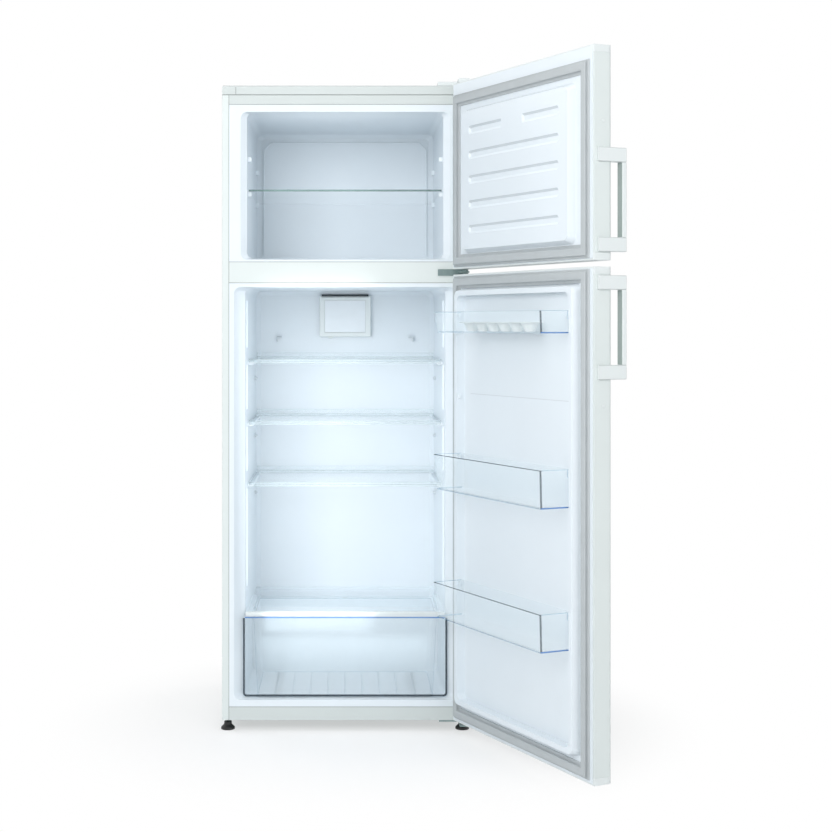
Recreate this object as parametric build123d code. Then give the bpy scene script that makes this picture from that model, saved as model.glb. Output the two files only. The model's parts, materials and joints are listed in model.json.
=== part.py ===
"""Top freezer refrigerator with both doors open, as an assembly of separate pieces, in millimetres.

While it is modelled, X runs to the right, Y to the rear from the cabinet's front plane, and Z up from the
floor. The pieces are written in a frame whose origin lies on the floor under the front left foot's axis.
"""
import os

from build123d import *

# Cabinet shell
CABINET_WIDTH = 600.0
CABINET_DEPTH = 525.0
SHEET = 1.0
FRONT_FLANGE = 16.0
REAR_FLANGE = 14.0
BASE_HEIGHT = 26.0
PLINTH_HEIGHT = 32.0
MIDDLE_RAIL_HEIGHT = 51.0
TOP_RAIL_HEIGHT = 23.0
LID_HEIGHT = 24.0
LID_WALL = 3.0
LID_REVEAL = 2.0
LID_END_CAP = 33.0
LID_ROUND = 5.0

# Liners and insulation
LINER_WALL = 2.0
FRIDGE_HEIGHT = 1004.0
FRIDGE_SILL = 20.0
FRIDGE_HEAD = 10.0
FRIDGE_SIDE_WALL = 54.0
FRIDGE_MOUTH_WALL = 29.0
FRIDGE_LIP_DEPTH = 32.0
FRIDGE_DRAFT = 4.0
FREEZER_HEIGHT = 357.0
FREEZER_SILL = 9.0
FREEZER_HEAD = 18.0
FREEZER_SIDE_WALL = 60.0
FREEZER_MOUTH_WALL = 45.0
FREEZER_LIP_DEPTH = 14.0
REAR_WALL = 65.0
REAR_CHAMFER = 12.0
CAVITY_RADIUS = 16.0
LIP_DROP = 3.0
NICHE_DEPTH = 220.0
HUMP_HEIGHT = 170.0
NICHE_INSULATION = 40.0
WALL_RIB_WIDTH = 10.0
WALL_RIB_RISE = 3.0
WALL_RIB_SETBACK = 84.0

# Fridge shelves, crisper and freezer shelf
SHELF_COUNT = 3
SHELF_PITCH = 154.0
TOP_SHELF_DROP = 56.0
SHELF_SETBACK = 95.0
SHELF_GLASS = 4.0
SHELF_SIDE_GAP = 2.0
SHELF_REAR_GAP = 14.0
TRIM_DEPTH = 16.0
TRIM_DROP = 2.0
TRIM_WALL = 2.0
REAR_TRIM_RISE = 10.0
LEDGE_WIDTH = 11.0
LEDGE_HEIGHT = 9.0
DRAWER_HEIGHT = 194.0
DRAWER_WALL = 2.5
DRAWER_SETBACK = 16.0
DRAWER_FRONT_GAP = 4.0
DRAWER_SIDE_GAP = 6.0
DRAWER_REAR_GAP = 18.0
DRAWER_TAPER = 10.0
DRAWER_RIB_COUNT = 9
DRAWER_RIB = 1.5
RUNNER_HEIGHT = 2.0
RUNNER_WIDTH = 24.0
COVER_GAP = 1.5
COVER_SETBACK = 20.0
COVER_REAR_GAP = 55.0
FREEZER_SHELF_RISE = 165.0
FREEZER_SHELF_GLASS = 5.0
FREEZER_SHELF_SETBACK = 24.0
FREEZER_SHELF_GAP = 2.0
KNOB_REACH = 9.0
KNOB_HEIGHT = 11.0
KNOB_LENGTH = 16.0
SPARE_KNOB_RISE = 86.0
RELIEF_RISE = 2.0
RELIEF_SLOPE = 4.0
RELIEF_MARGIN = 3.0
RELIEF_DROP = 19.0
RELIEF_CHAMFER = 20.0

# Lamp housing and thermostat
LAMP_WIDTH = 139.0
LAMP_HEIGHT = 110.0
LAMP_DEPTH = 22.0
LAMP_DROP = 2.0
LAMP_WALL = 2.0
LENS_WIDTH = 112.0
LENS_HEIGHT = 88.0
LENS_THICKNESS = 2.5
LED_BOARD = 60.0
DIAL_RADIUS = 13.0
DIAL_THICKNESS = 7.0
DIAL_OFFSET = 40.0
DIAL_SHOWS = 5.0
HOOK_OFFSET = 180.0
HOOK_SIZE = 14.0

# Doors
DOOR_THICKNESS = 45.0
DOOR_GAP = 12.0
DOOR_ROUND = 8.0
FRIDGE_DOOR_LIFT = 9.0
DOOR_SPACING = 13.0
FREEZER_DOOR_TOP_GAP = 2.0
CAP_HEIGHT = 16.0
DOOR_OPEN = 115.0
HINGE_INSET = 12.0
HINGE_SETBACK = 24.0
GASKET_WIDTH = 29.0
GASKET_INSET = 12.0
GASKET_CLEAR = 0.4
GASKET_BASE = 4.0
GASKET_LIP = 5.0
FREEZER_GASKET_TOP = 30.0
FREEZER_GASKET_END = 5.0
FRIDGE_GASKET_TOP = 5.0
FRIDGE_GASKET_END = 10.0
DOOR_LINER_WALL = 2.0
FREEZER_LINER_RISE = 16.0
FREEZER_GROOVES = 5
GROOVE_HEIGHT = 20.0
GROOVE_DEPTH = 4.0
GROOVE_MARGIN = 44.0
GROOVE_END = 43.0
CARTOUCHE = 90.0
DYKE_RISE = 22.0
DYKE_TOP = 12.0
DYKE_SLOPE = 5.0
DYKE_MOUTH_GAP = 13.0
DYKE_END_GAP = 6.0
DOOR_LINER_GAP = 4.0
PLUG_RADIUS = 4.0
PLUG_RISE = 55.0

# Hinges
PIN_RADIUS = 4.0
PIN_CLEARANCE = 0.05
PIN_REACH = 11.0
HINGE_PLATE = 4.0
HINGE_ARM = 24.0
HINGE_LENGTH = 58.0
HINGE_COVER_GAP = 1.5
HINGE_TAB = 3.0
TAB_HEIGHT = 16.0
HINGE_COVER_WALL = 2.0
SCREW_RADIUS = 2.5
SCREW_HEAD = 4.5
SCREW_HEAD_HEIGHT = 2.5
SCREW_LENGTH = 12.0

# Handles
HANDLE_LENGTH = 217.0
HANDLE_INSET = 18.0
BLOCK_HEIGHT = 30.0
BLOCK_WRAP = 5.0
BLOCK_BACK = 37.0
BAR_WIDTH = 19.0
BAR_THICKNESS = 12.0
BAR_STANDOFF = 22.0

# Door bins and egg tray
BIN_WALL = 2.2
BIN_DEPTH = 80.0
BIN_BACK_GAP = 8.0
BIN_SIDE_GAP = 6.0
BIN_ROUND = 6.0
BIN_TAPER = 6.0
UPPER_BIN_HEIGHT = 48.0
UPPER_BIN_DROP = 56.0
MIDDLE_BIN_HEIGHT = 82.0
MIDDLE_BIN_LIFT = 10.0
LOWER_BIN_HEIGHT = 82.0
LOWER_BIN_LIFT = 18.0
EAR_HEIGHT = 16.0
EAR_WIDTH = 12.0
EAR_CAP = 4.0
EAR_GAP = 0.6
STUD_WIDTH = 6.0
STUD_HEIGHT = 10.0
EGG_TRAY_LENGTH = 300.0
EGG_TRAY_DEPTH = 58.0
EGG_TRAY_HEIGHT = 22.0
EGG_CUPS = 6
EGG_CUP_RADIUS = 19.0
EGG_CUP_DEPTH = 15.0
EGG_CUP_WALL = 2.0
EGG_TRAY_ROUND = 20.0

# Cooling circuit
COMPRESSOR_WIDTH = 190.0
COMPRESSOR_DEPTH = 140.0
COMPRESSOR_HEIGHT = 116.0
COMPRESSOR_ROUND = 34.0
COMPRESSOR_CORNER = 58.0
COMPRESSOR_OFFSET = 60.0
SEAM_RISE = 3.0
FOOT_PLATE = 3.0
GROMMET_RADIUS = 9.0
GROMMET_HEIGHT = 10.0
RELAY_WIDTH = 42.0
RELAY_HEIGHT = 62.0
RELAY_DEPTH = 74.0
CORD_INLET_RADIUS = 7.0
TRAY_WIDTH = 180.0
TRAY_DEPTH = 128.0
TRAY_HEIGHT = 26.0
TRAY_WALL = 2.0
DRAIN_RADIUS = 8.0
DRAIN_WALL = 2.0
EVAPORATOR_THICKNESS = 1.5
EVAPORATOR_INSET = 60.0
EVAPORATOR_HEIGHT = 300.0
CONDENSER_WIDTH = 470.0
CONDENSER_RUNS = 9
CONDENSER_PITCH = 118.0
CONDENSER_TUBE = 2.5
CONDENSER_STANDOFF = 24.0
CONDENSER_RISE = 60.0
WIRE_RADIUS = 0.8
WIRE_COUNT = 11
BRACKET_WIDTH = 22.0
PIPE_RADIUS = 3.0
DRIER_RADIUS = 8.0
DRIER_LENGTH = 90.0

# Feet and rollers
FOOT_INSET = 13.0
FOOT_SETBACK = 20.0
FOOT_RADIUS = 17.0
FOOT_NECK = 10.0
FOOT_HEIGHT = 20.0
FOOT_STEM = 5.0
FOOT_STEM_LENGTH = 24.0
ROLLER_RADIUS = 11.5
ROLLER_WIDTH = 22.0
ROLLER_INSET = 60.0
ROLLER_SETBACK = 30.0
AXLE_RADIUS = 3.0
LUG_WALL = 3.0
FIT = 0.05

# Heights and places that follow from the sizes above
HALF = CABINET_WIDTH / 2
INNER_HALF = HALF - FRONT_FLANGE
FRIDGE_FLANGE_Z = BASE_HEIGHT + PLINTH_HEIGHT
FRIDGE_FLOOR = FRIDGE_FLANGE_Z + FRIDGE_SILL
FRIDGE_TOP = FRIDGE_FLOOR + FRIDGE_HEIGHT
RAIL_Z = FRIDGE_TOP + FRIDGE_HEAD
FREEZER_FLANGE_Z = RAIL_Z + MIDDLE_RAIL_HEIGHT
FREEZER_FLOOR = FREEZER_FLANGE_Z + FREEZER_SILL
FREEZER_TOP = FREEZER_FLOOR + FREEZER_HEIGHT
TOP_RAIL_Z = FREEZER_TOP + FREEZER_HEAD
LID_Z = TOP_RAIL_Z + TOP_RAIL_HEIGHT
LID_TOP = LID_Z + LID_HEIGHT
CAVITY_BACK = CABINET_DEPTH - REAR_WALL
FRIDGE_HALF = HALF - FRIDGE_SIDE_WALL
FRIDGE_REAR_HALF = FRIDGE_HALF - FRIDGE_DRAFT
FREEZER_HALF = HALF - FREEZER_SIDE_WALL
HUMP_Z = FRIDGE_FLOOR + HUMP_HEIGHT
RISER_DEPTH = CABINET_DEPTH - NICHE_DEPTH
NICHE_Y = RISER_DEPTH + LINER_WALL + NICHE_INSULATION
NICHE_ROOF = HUMP_Z - LINER_WALL - NICHE_INSULATION
REAR_FACE = CABINET_DEPTH + SHEET

LAMP_Z = FRIDGE_TOP - REAR_CHAMFER - LAMP_DROP - LAMP_HEIGHT
SHELF_TOPS = [LAMP_Z - TOP_SHELF_DROP - i * SHELF_PITCH for i in range(SHELF_COUNT)]
SHELF_HALF = FRIDGE_REAR_HALF - SHELF_SIDE_GAP
SHELF_BACK = CAVITY_BACK - SHELF_REAR_GAP
DRAWER_Z = FRIDGE_FLOOR + RUNNER_HEIGHT
DRAWER_TOP = DRAWER_Z + DRAWER_HEIGHT
DRAWER_HALF = FRIDGE_REAR_HALF - LEDGE_WIDTH - DRAWER_SIDE_GAP
COVER_Z = DRAWER_TOP + COVER_GAP + TRIM_WALL + TRIM_DROP
COVER_TOP = COVER_Z + SHELF_GLASS + TRIM_WALL
FREEZER_SHELF_Z = FREEZER_FLOOR + FREEZER_SHELF_RISE

DOOR_INNER = -DOOR_GAP
DOOR_OUTER = DOOR_INNER - DOOR_THICKNESS
FRIDGE_DOOR_Z = BASE_HEIGHT + FRIDGE_DOOR_LIFT
FRIDGE_DOOR_TOP = RAIL_Z + (MIDDLE_RAIL_HEIGHT - DOOR_SPACING) / 2
FREEZER_DOOR_Z = FRIDGE_DOOR_TOP + DOOR_SPACING
FREEZER_DOOR_TOP = LID_TOP - FREEZER_DOOR_TOP_GAP
HINGE_X = HALF - HINGE_INSET
HINGE_Y = DOOR_INNER - HINGE_SETBACK
LINER_FACE = DOOR_INNER + DOOR_LINER_WALL
GASKET_HALF = HALF - GASKET_INSET
DYKE_HALF = HALF - FRIDGE_MOUTH_WALL - DYKE_MOUTH_GAP
DYKE_INNER = DYKE_HALF - DYKE_SLOPE - DYKE_TOP
DYKE_Z = FRIDGE_FLOOR + DYKE_END_GAP
DYKE_TOP_Z = FRIDGE_TOP - DYKE_END_GAP
BIN_HALF = DYKE_INNER - BIN_SIDE_GAP
BIN_BACK = LINER_FACE + BIN_BACK_GAP
UPPER_BIN_Z = DYKE_TOP_Z - UPPER_BIN_DROP - UPPER_BIN_HEIGHT
MIDDLE_BIN_Z = SHELF_TOPS[-1] + MIDDLE_BIN_LIFT
LOWER_BIN_Z = COVER_TOP + LOWER_BIN_LIFT
SPARE_BIN_Z = (UPPER_BIN_Z + MIDDLE_BIN_Z + MIDDLE_BIN_HEIGHT) / 2 - EAR_HEIGHT
BINS = {
    "door_bin_upper": (UPPER_BIN_Z, UPPER_BIN_HEIGHT),
    "door_bin_middle": (MIDDLE_BIN_Z, MIDDLE_BIN_HEIGHT),
    "door_bin_lower": (LOWER_BIN_Z, LOWER_BIN_HEIGHT),
}

FOOT_X = HALF - FOOT_INSET
ROLLER_X = HALF - ROLLER_INSET
ROLLER_Y = CABINET_DEPTH - ROLLER_SETBACK
PLATE_TOP = BASE_HEIGHT + SHEET
COMPRESSOR_Y = (NICHE_Y + CABINET_DEPTH) / 2
COMPRESSOR_Z = PLATE_TOP + GROMMET_HEIGHT + FOOT_PLATE
COMPRESSOR_TOP = COMPRESSOR_Z + COMPRESSOR_HEIGHT
CONDENSER_Y = REAR_FACE + CONDENSER_STANDOFF
CONDENSER_Z = NICHE_ROOF + CONDENSER_RISE
CONDENSER_TOP = CONDENSER_Z + (CONDENSER_RUNS - 1) * CONDENSER_PITCH
ORIGIN = (-FOOT_X, FOOT_SETBACK, 0)
HINGE_AXIS = Axis((HINGE_X, HINGE_Y, 0), (0, 0, 1))


def block(x0, x1, y0, y1, z0, z1):
    """Block between two opposite corners."""
    return Pos((x0 + x1) / 2, (y0 + y1) / 2, (z0 + z1) / 2) * Box(x1 - x0, y1 - y0, z1 - z0)


def rod(start, end, radius):
    """Round bar between two points."""
    axis = Vector(*end) - Vector(*start)
    return Solid.make_cylinder(radius, axis.length, Plane(origin=start, z_dir=axis))


def mirrored(shape):
    """The same shape on the other side of the cabinet's middle plane."""
    return mirror(shape, Plane.YZ)


def upright(y, half, z0, z1, radius):
    """Rounded rectangle standing across the cabinet at depth y, facing the front."""
    plane = Plane(origin=(0, y, (z0 + z1) / 2), x_dir=(1, 0, 0), z_dir=(0, -1, 0))
    return plane * RectangleRounded(2 * half, z1 - z0, radius)


def lying(z, x0, x1, y0, y1, radius):
    """Rounded rectangle lying at height z."""
    return Pos((x0 + x1) / 2, (y0 + y1) / 2, z) * RectangleRounded(x1 - x0, y1 - y0, radius)


def cavity(mouth_half, half, rear_half, floor, top, lip_depth, grow=0.0):
    """Moulded compartment: a lip that funnels in, drafted walls and a chamfered rear, grown by a wall."""
    back = CAVITY_BACK + grow
    radius = CAVITY_RADIUS + grow
    chamfer = REAR_CHAMFER
    return loft([
        upright(0, mouth_half + grow, floor - LIP_DROP - grow, top + grow, radius),
        upright(lip_depth, half + grow, floor - grow, top + grow, radius),
        upright(back - chamfer, rear_half + grow, floor - grow, top + grow, radius),
        upright(back, rear_half + grow - chamfer, floor - grow + chamfer, top + grow - chamfer,
                radius - chamfer / 2),
    ], ruled=True)


def fridge_cavity(grow=0.0):
    """Fridge compartment with the step that clears the compressor."""
    room = cavity(HALF - FRIDGE_MOUTH_WALL, FRIDGE_HALF, FRIDGE_REAR_HALF, FRIDGE_FLOOR, FRIDGE_TOP,
                  FRIDGE_LIP_DEPTH, grow)
    step = block(-HALF, HALF, RISER_DEPTH + grow, CABINET_DEPTH, 0, HUMP_Z - grow)
    return room - step


def freezer_cavity(grow=0.0):
    """Freezer compartment."""
    return cavity(HALF - FREEZER_MOUTH_WALL, FREEZER_HALF, FREEZER_HALF, FREEZER_FLOOR, FREEZER_TOP,
                  FREEZER_LIP_DEPTH, grow)


def side_panel():
    """Right side panel: a folded sheet with front and rear flanges."""
    skin = block(0, HALF, 0, CABINET_DEPTH, BASE_HEIGHT, LID_Z)
    skin = fillet([e for e in skin.edges().filter_by(Axis.Z) if e.center().X > HALF - 1], 1.5 * SHEET)
    skin -= block(0, HALF - SHEET, SHEET, CABINET_DEPTH - SHEET, 0, LID_TOP)
    skin -= block(0, INNER_HALF, -1, SHEET + 1, 0, LID_TOP)
    return skin - block(0, HALF - REAR_FLANGE, CABINET_DEPTH - SHEET - 1, CABINET_DEPTH + 1, 0, LID_TOP)


def rear_panel():
    """Flat rear sheet over the side panels' rear flanges."""
    return block(-HALF + SHEET, HALF - SHEET, CABINET_DEPTH, REAR_FACE, NICHE_ROOF, LID_Z)


def lid_screws():
    """Places of the top hinge's screws."""
    return [(HINGE_X - HINGE_LENGTH * f, HINGE_ARM * 1.1) for f in (0.1, 0.75)]


def top_cover():
    """Lid with end caps, a shadow line above the top rail and screw holes for the hinge."""
    lid = block(-HALF, HALF, 0, REAR_FACE, LID_Z, LID_TOP)
    edges = [e for e in lid.edges() if e.center().Z > LID_TOP - 1 and e.center().Y < CABINET_DEPTH]
    lid = fillet(edges, LID_ROUND)
    joint = HALF - LID_END_CAP
    lid -= block(-joint + LID_WALL, joint - LID_WALL, LID_WALL, REAR_FACE - LID_WALL,
                 LID_Z, LID_TOP - LID_WALL)
    lid -= block(-HALF, HALF, 0, LID_WALL / 2, LID_Z, LID_Z + LID_REVEAL)
    for x in (-joint, joint):
        slit = block(x - 0.5, x + 0.5, 0, REAR_FACE, LID_Z, LID_TOP)
        lid -= slit - block(-HALF, HALF, 1, REAR_FACE, LID_Z, LID_TOP - 1)
    for x, y in lid_screws():
        lid -= rod((x, y, LID_TOP - SCREW_LENGTH), (x, y, LID_TOP), SCREW_RADIUS)
    return lid


def front_strip(z0, z1):
    """Flat front strip between the side panels' flanges."""
    return block(-INNER_HALF, INNER_HALF, 0, SHEET, z0, z1)


def rail_screws():
    """Places of the middle hinge's screws on the middle rail."""
    z = RAIL_Z + MIDDLE_RAIL_HEIGHT / 2
    return [(INNER_HALF - SCREW_HEAD * k, z) for k in (4.0, 9.0)]


def middle_rail():
    """Rail between the doors, with the middle hinge's screw holes."""
    rail = front_strip(RAIL_Z, FREEZER_FLANGE_Z)
    for x, z in rail_screws():
        rail -= rod((x, 0, z), (x, SHEET, z), SCREW_RADIUS)
    return rail


def base_pan():
    """Bent base sheet: flat front, riser and roof of the niche, with holes for the feet and drain."""
    inner = HALF - SHEET
    pan = block(-inner, inner, SHEET, NICHE_Y, BASE_HEIGHT, PLATE_TOP)
    pan += block(-inner, inner, NICHE_Y - SHEET, NICHE_Y, BASE_HEIGHT, NICHE_ROOF + SHEET)
    pan += block(-inner, inner, NICHE_Y - SHEET, CABINET_DEPTH - SHEET, NICHE_ROOF, NICHE_ROOF + SHEET)
    pan -= drain_path(DRAIN_RADIUS)
    for x in (-FOOT_X, FOOT_X):
        pan -= rod((x, FOOT_SETBACK, 0), (x, FOOT_SETBACK, NICHE_ROOF), FOOT_STEM + FIT)
    return pan


def compressor_plate():
    """Plate that carries the compressor, with the rear rollers' lugs below it."""
    inner = HALF - SHEET
    rear = CABINET_DEPTH - SHEET
    plate = block(-inner, inner, NICHE_Y, rear, BASE_HEIGHT, PLATE_TOP)
    plate += block(-inner, inner, rear - SHEET, rear, BASE_HEIGHT, BASE_HEIGHT + REAR_FLANGE)
    reach = ROLLER_WIDTH / 2 + 1
    for side in (-1, 1):
        for edge in (-1, 1):
            x = side * ROLLER_X + edge * (reach + LUG_WALL / 2)
            x0, x1 = x - LUG_WALL / 2, x + LUG_WALL / 2
            lug = block(x0, x1, ROLLER_Y - 10, ROLLER_Y + 10, ROLLER_RADIUS, BASE_HEIGHT)
            lug += rod((x0, ROLLER_Y, ROLLER_RADIUS), (x1, ROLLER_Y, ROLLER_RADIUS), 8)
            plate += lug
        axle = (side * ROLLER_X, ROLLER_Y, ROLLER_RADIUS)
        plate -= rod((axle[0] - 2 * reach, *axle[1:]), (axle[0] + 2 * reach, *axle[1:]), AXLE_RADIUS + FIT)
    for x, y in grommet_places():
        plate -= rod((x, y, BASE_HEIGHT), (x, y, PLATE_TOP), GROMMET_RADIUS / 2)
    return plate


def insulation_foam(embedded):
    """Foam that fills the shell around both liners, cut by everything set in it."""
    foam = block(-HALF + SHEET, HALF - SHEET, SHEET, CABINET_DEPTH, PLATE_TOP, LID_Z)
    foam -= block(-HALF, HALF, NICHE_Y - SHEET, CABINET_DEPTH, 0, NICHE_ROOF + SHEET)
    for side in (-1, 1):
        rear = sorted((side * HALF, side * (HALF - REAR_FLANGE)))
        foam -= block(*rear, CABINET_DEPTH - SHEET, CABINET_DEPTH, 0, LID_Z)
        x = side * FOOT_X
        foam -= rod((x, FOOT_SETBACK, 0), (x, FOOT_SETBACK, stem_top() + 2), FOOT_STEM + 2)
    foam -= block(-INNER_HALF, INNER_HALF, 0, LINER_WALL, FRIDGE_FLANGE_Z, RAIL_Z)
    foam -= block(-INNER_HALF, INNER_HALF, 0, LINER_WALL, FREEZER_FLANGE_Z, TOP_RAIL_Z)
    foam -= fridge_cavity(LINER_WALL)
    foam -= freezer_cavity(LINER_WALL)
    foam -= drain_path(DRAIN_RADIUS)
    for x, z in rail_screws():
        foam -= rod((x, 0, z), (x, SCREW_LENGTH, z), SCREW_RADIUS)
    for x, y in lid_screws():
        foam -= rod((x, y, LID_TOP - SCREW_LENGTH), (x, y, LID_TOP), SCREW_RADIUS)
    for piece in embedded:
        foam -= piece
    return foam


def knob(side, y, z):
    """Support knob on a freezer side wall, with its top at height z."""
    x = sorted((side * (FREEZER_HALF + LINER_WALL / 2), side * (FREEZER_HALF - KNOB_REACH)))
    return block(*x, y, y + KNOB_LENGTH, z - KNOB_HEIGHT, z)


def relief_outline(y, inset):
    """Outline of the freezer's raised rear panel at depth y: its upper corners are cut off."""
    half = FREEZER_HALF - REAR_CHAMFER - RELIEF_MARGIN - inset
    low, high = FREEZER_FLOOR + 2 * REAR_CHAMFER + inset, FREEZER_TOP - RELIEF_DROP - inset
    outline = [(-half, low), (half, low), (half, high - RELIEF_CHAMFER), (half - RELIEF_CHAMFER, high),
               (RELIEF_CHAMFER - half, high), (-half, high - RELIEF_CHAMFER)]
    return make_face(Polyline(*[(x, y, z) for x, z in outline], close=True))


def freezer_liner():
    """Moulded freezer compartment with its front frame, shelf knobs and a raised rear panel."""
    liner = freezer_cavity(LINER_WALL)
    liner += block(-INNER_HALF, INNER_HALF, 0, LINER_WALL, FREEZER_FLANGE_Z, TOP_RAIL_Z)
    liner -= freezer_cavity()
    for side in (-1, 1):
        for rise in (0, SPARE_KNOB_RISE):
            for y in (FREEZER_SHELF_SETBACK + KNOB_LENGTH, CAVITY_BACK - 5 * KNOB_LENGTH):
                liner += knob(side, y, FREEZER_SHELF_Z + rise)
    relief = loft([relief_outline(CAVITY_BACK - RELIEF_RISE, RELIEF_SLOPE), relief_outline(CAVITY_BACK, 0)],
                  ruled=True)
    return liner + relief


def ledge(side, y0, y1, top):
    """Shelf ledge on a fridge side wall."""
    x = sorted((side * (FRIDGE_REAR_HALF - LEDGE_WIDTH), side * (FRIDGE_HALF + LINER_WALL)))
    return block(*x, y0, y1, top - LEDGE_HEIGHT, top)


def fridge_liner():
    """Moulded fridge compartment: front frame, shelf ledges, upright ribs, drawer runners and drain."""
    shell = fridge_cavity(LINER_WALL)
    room = fridge_cavity()
    liner = shell + block(-INNER_HALF, INNER_HALF, 0, LINER_WALL, FRIDGE_FLANGE_Z, RAIL_Z) - room
    rests = [top - SHELF_GLASS for top in SHELF_TOPS]
    for side in (-1, 1):
        for z in rests:
            liner += ledge(side, SHELF_SETBACK + 2 * TRIM_DEPTH, SHELF_BACK - 2 * TRIM_DEPTH, z) & shell
        liner += ledge(side, COVER_SETBACK + 2 * TRIM_DEPTH, RISER_DEPTH, COVER_Z) & shell
        rib_x = sorted((side * (FRIDGE_HALF - WALL_RIB_RISE), side * (FRIDGE_HALF + LINER_WALL)))
        lows = [COVER_TOP + LOWER_BIN_LIFT] + rests[::-1]
        highs = [z - LEDGE_HEIGHT for z in rests[::-1]] + [FRIDGE_TOP - 2 * CAVITY_RADIUS]
        for low, high in zip(lows, highs):
            gap = 4 * LEDGE_HEIGHT
            rib = block(*rib_x, WALL_RIB_SETBACK, WALL_RIB_SETBACK + WALL_RIB_WIDTH, low + gap, high)
            liner += rib & shell
        x = side * DRAWER_HALF * 0.75
        liner += block(x - RUNNER_WIDTH / 2, x + RUNNER_WIDTH / 2, FRIDGE_LIP_DEPTH, RISER_DEPTH - 1,
                       FRIDGE_FLOOR - LINER_WALL / 2, DRAWER_Z)
        x = side * HOOK_OFFSET
        hook = block(x - HOOK_SIZE / 2, x + HOOK_SIZE / 2, CAVITY_BACK - HOOK_SIZE,
                     CAVITY_BACK + LINER_WALL / 2, LAMP_Z - HOOK_SIZE, LAMP_Z)
        liner += hook - Pos(-side * 3, 0, -3) * hook
    liner -= drain_path(DRAIN_RADIUS)
    return liner


def drain_path(radius):
    """Upright path of the drain from the step in the liner into the niche."""
    y = CAVITY_BACK - 3 * DRAIN_RADIUS
    return rod((0, y, NICHE_ROOF - DRAIN_RADIUS), (0, y, HUMP_Z), radius)


def evaporator(half, z0, z1):
    """Evaporator plate against the rear of a liner."""
    face = CAVITY_BACK + LINER_WALL
    return block(-half, half, face, face + EVAPORATOR_THICKNESS, z0, z1)


def evaporator_plates():
    """One plate behind each compartment."""
    freezer = evaporator(FREEZER_HALF - EVAPORATOR_INSET, FREEZER_FLOOR + EVAPORATOR_INSET,
                         FREEZER_TOP - EVAPORATOR_INSET)
    top = LAMP_Z - EVAPORATOR_INSET
    return [freezer, evaporator(FRIDGE_REAR_HALF - EVAPORATOR_INSET, top - EVAPORATOR_HEIGHT, top)]


def lamp_housing():
    """Lamp box on the rear wall with its window, vent slit, dial slot and pin, and the LED board inside."""
    half, front, top = LAMP_WIDTH / 2, CAVITY_BACK - LAMP_DEPTH, LAMP_Z + LAMP_HEIGHT
    shell = block(-half, half, front, CAVITY_BACK, LAMP_Z, top)
    shell = fillet([e for e in shell.edges() if e.center().Y < front + 1], LAMP_WALL)
    shell -= block(-half + LAMP_WALL, half - LAMP_WALL, front + LAMP_WALL, CAVITY_BACK, LAMP_Z + LAMP_WALL,
                   top - LAMP_WALL)
    shell -= lamp_lens()
    shell -= block(-half + 6, half - 6, front - 1, front + 3 * LAMP_WALL, top - 1.5 * LAMP_WALL, top + 1)
    y, z = dial_centre()
    slot = DIAL_RADIUS + 1
    shell -= block(-DIAL_OFFSET - slot, -DIAL_OFFSET + slot, y - DIAL_THICKNESS / 2 - 1,
                   y + DIAL_THICKNESS / 2 + 1, LAMP_Z - 1, LAMP_Z + LAMP_WALL)
    shell += rod((-DIAL_OFFSET, front + LAMP_WALL, z), (-DIAL_OFFSET, CAVITY_BACK, z), AXLE_RADIUS)
    board_z = LAMP_Z + LAMP_HEIGHT * 0.6
    board = block(-LED_BOARD / 2, LED_BOARD / 2, CAVITY_BACK - 1.6, CAVITY_BACK,
                  board_z, board_z + LED_BOARD / 3)
    return [shell, board]


def lamp_lens():
    """Translucent panel set in the lamp box's front."""
    front, z = CAVITY_BACK - LAMP_DEPTH, LAMP_Z + (LAMP_HEIGHT - LENS_HEIGHT) / 2
    back = front + LAMP_WALL
    return block(-LENS_WIDTH / 2, LENS_WIDTH / 2, back - LENS_THICKNESS, back, z, z + LENS_HEIGHT)


def dial_centre():
    """Depth and height of the thermostat dial's axis."""
    return CAVITY_BACK - LAMP_DEPTH / 2, LAMP_Z + DIAL_RADIUS - DIAL_SHOWS


def thermostat_dial():
    """Thumbwheel under the lamp box, with finger notches in its rim."""
    y, z = dial_centre()
    y0, y1 = y - DIAL_THICKNESS / 2, y + DIAL_THICKNESS / 2
    dial = rod((0, y0, 0), (0, y1, 0), DIAL_RADIUS) - rod((0, y0, 0), (0, y1, 0), AXLE_RADIUS + FIT)
    notch = block(-0.8, 0.8, y0, y1, DIAL_RADIUS - 1, DIAL_RADIUS + 1)
    for k in range(12):
        dial -= notch.rotate(Axis.Y, k * 30)
    return Pos(-DIAL_OFFSET, 0, z) * dial


def channel(half, y0, y1, glass_top, lip, drop, flange_half, open_side):
    """Trim that grips one edge of a glass plate: open_side is 1 where the glass runs to the rear."""
    glass_z = glass_top - SHELF_GLASS
    trim = block(-half, half, y0, y1, glass_z, glass_top + TRIM_WALL)
    trim += block(-flange_half, flange_half, y0, y1, glass_z - TRIM_WALL, glass_z)
    edge = (y0, y0 + TRIM_WALL) if open_side > 0 else (y1 - TRIM_WALL, y1)
    trim += block(-flange_half, flange_half, *edge, glass_z - TRIM_WALL - drop, glass_z)
    trim += block(-half, half, *edge, glass_z, glass_top + TRIM_WALL + lip)
    glass = (y0 + TRIM_WALL, y1) if open_side > 0 else (y0, y1 - TRIM_WALL)
    return trim - block(-half, half, *glass, glass_z, glass_top)


def shelf(top, half, front_half, y0, y1, lip):
    """Glass plate and its front and rear trims; the rear trim's underside passes between the ledges."""
    glass = block(-half, half, y0 + TRIM_WALL, y1 - TRIM_WALL, top - SHELF_GLASS, top)
    between = FRIDGE_REAR_HALF - LEDGE_WIDTH - SHELF_SIDE_GAP
    front = channel(front_half, y0, y0 + TRIM_DEPTH, top, 0, TRIM_DROP, front_half, 1)
    rear = channel(half, y1 - TRIM_DEPTH, y1, top, lip, 0, between, -1)
    return glass, [front, rear]


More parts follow.
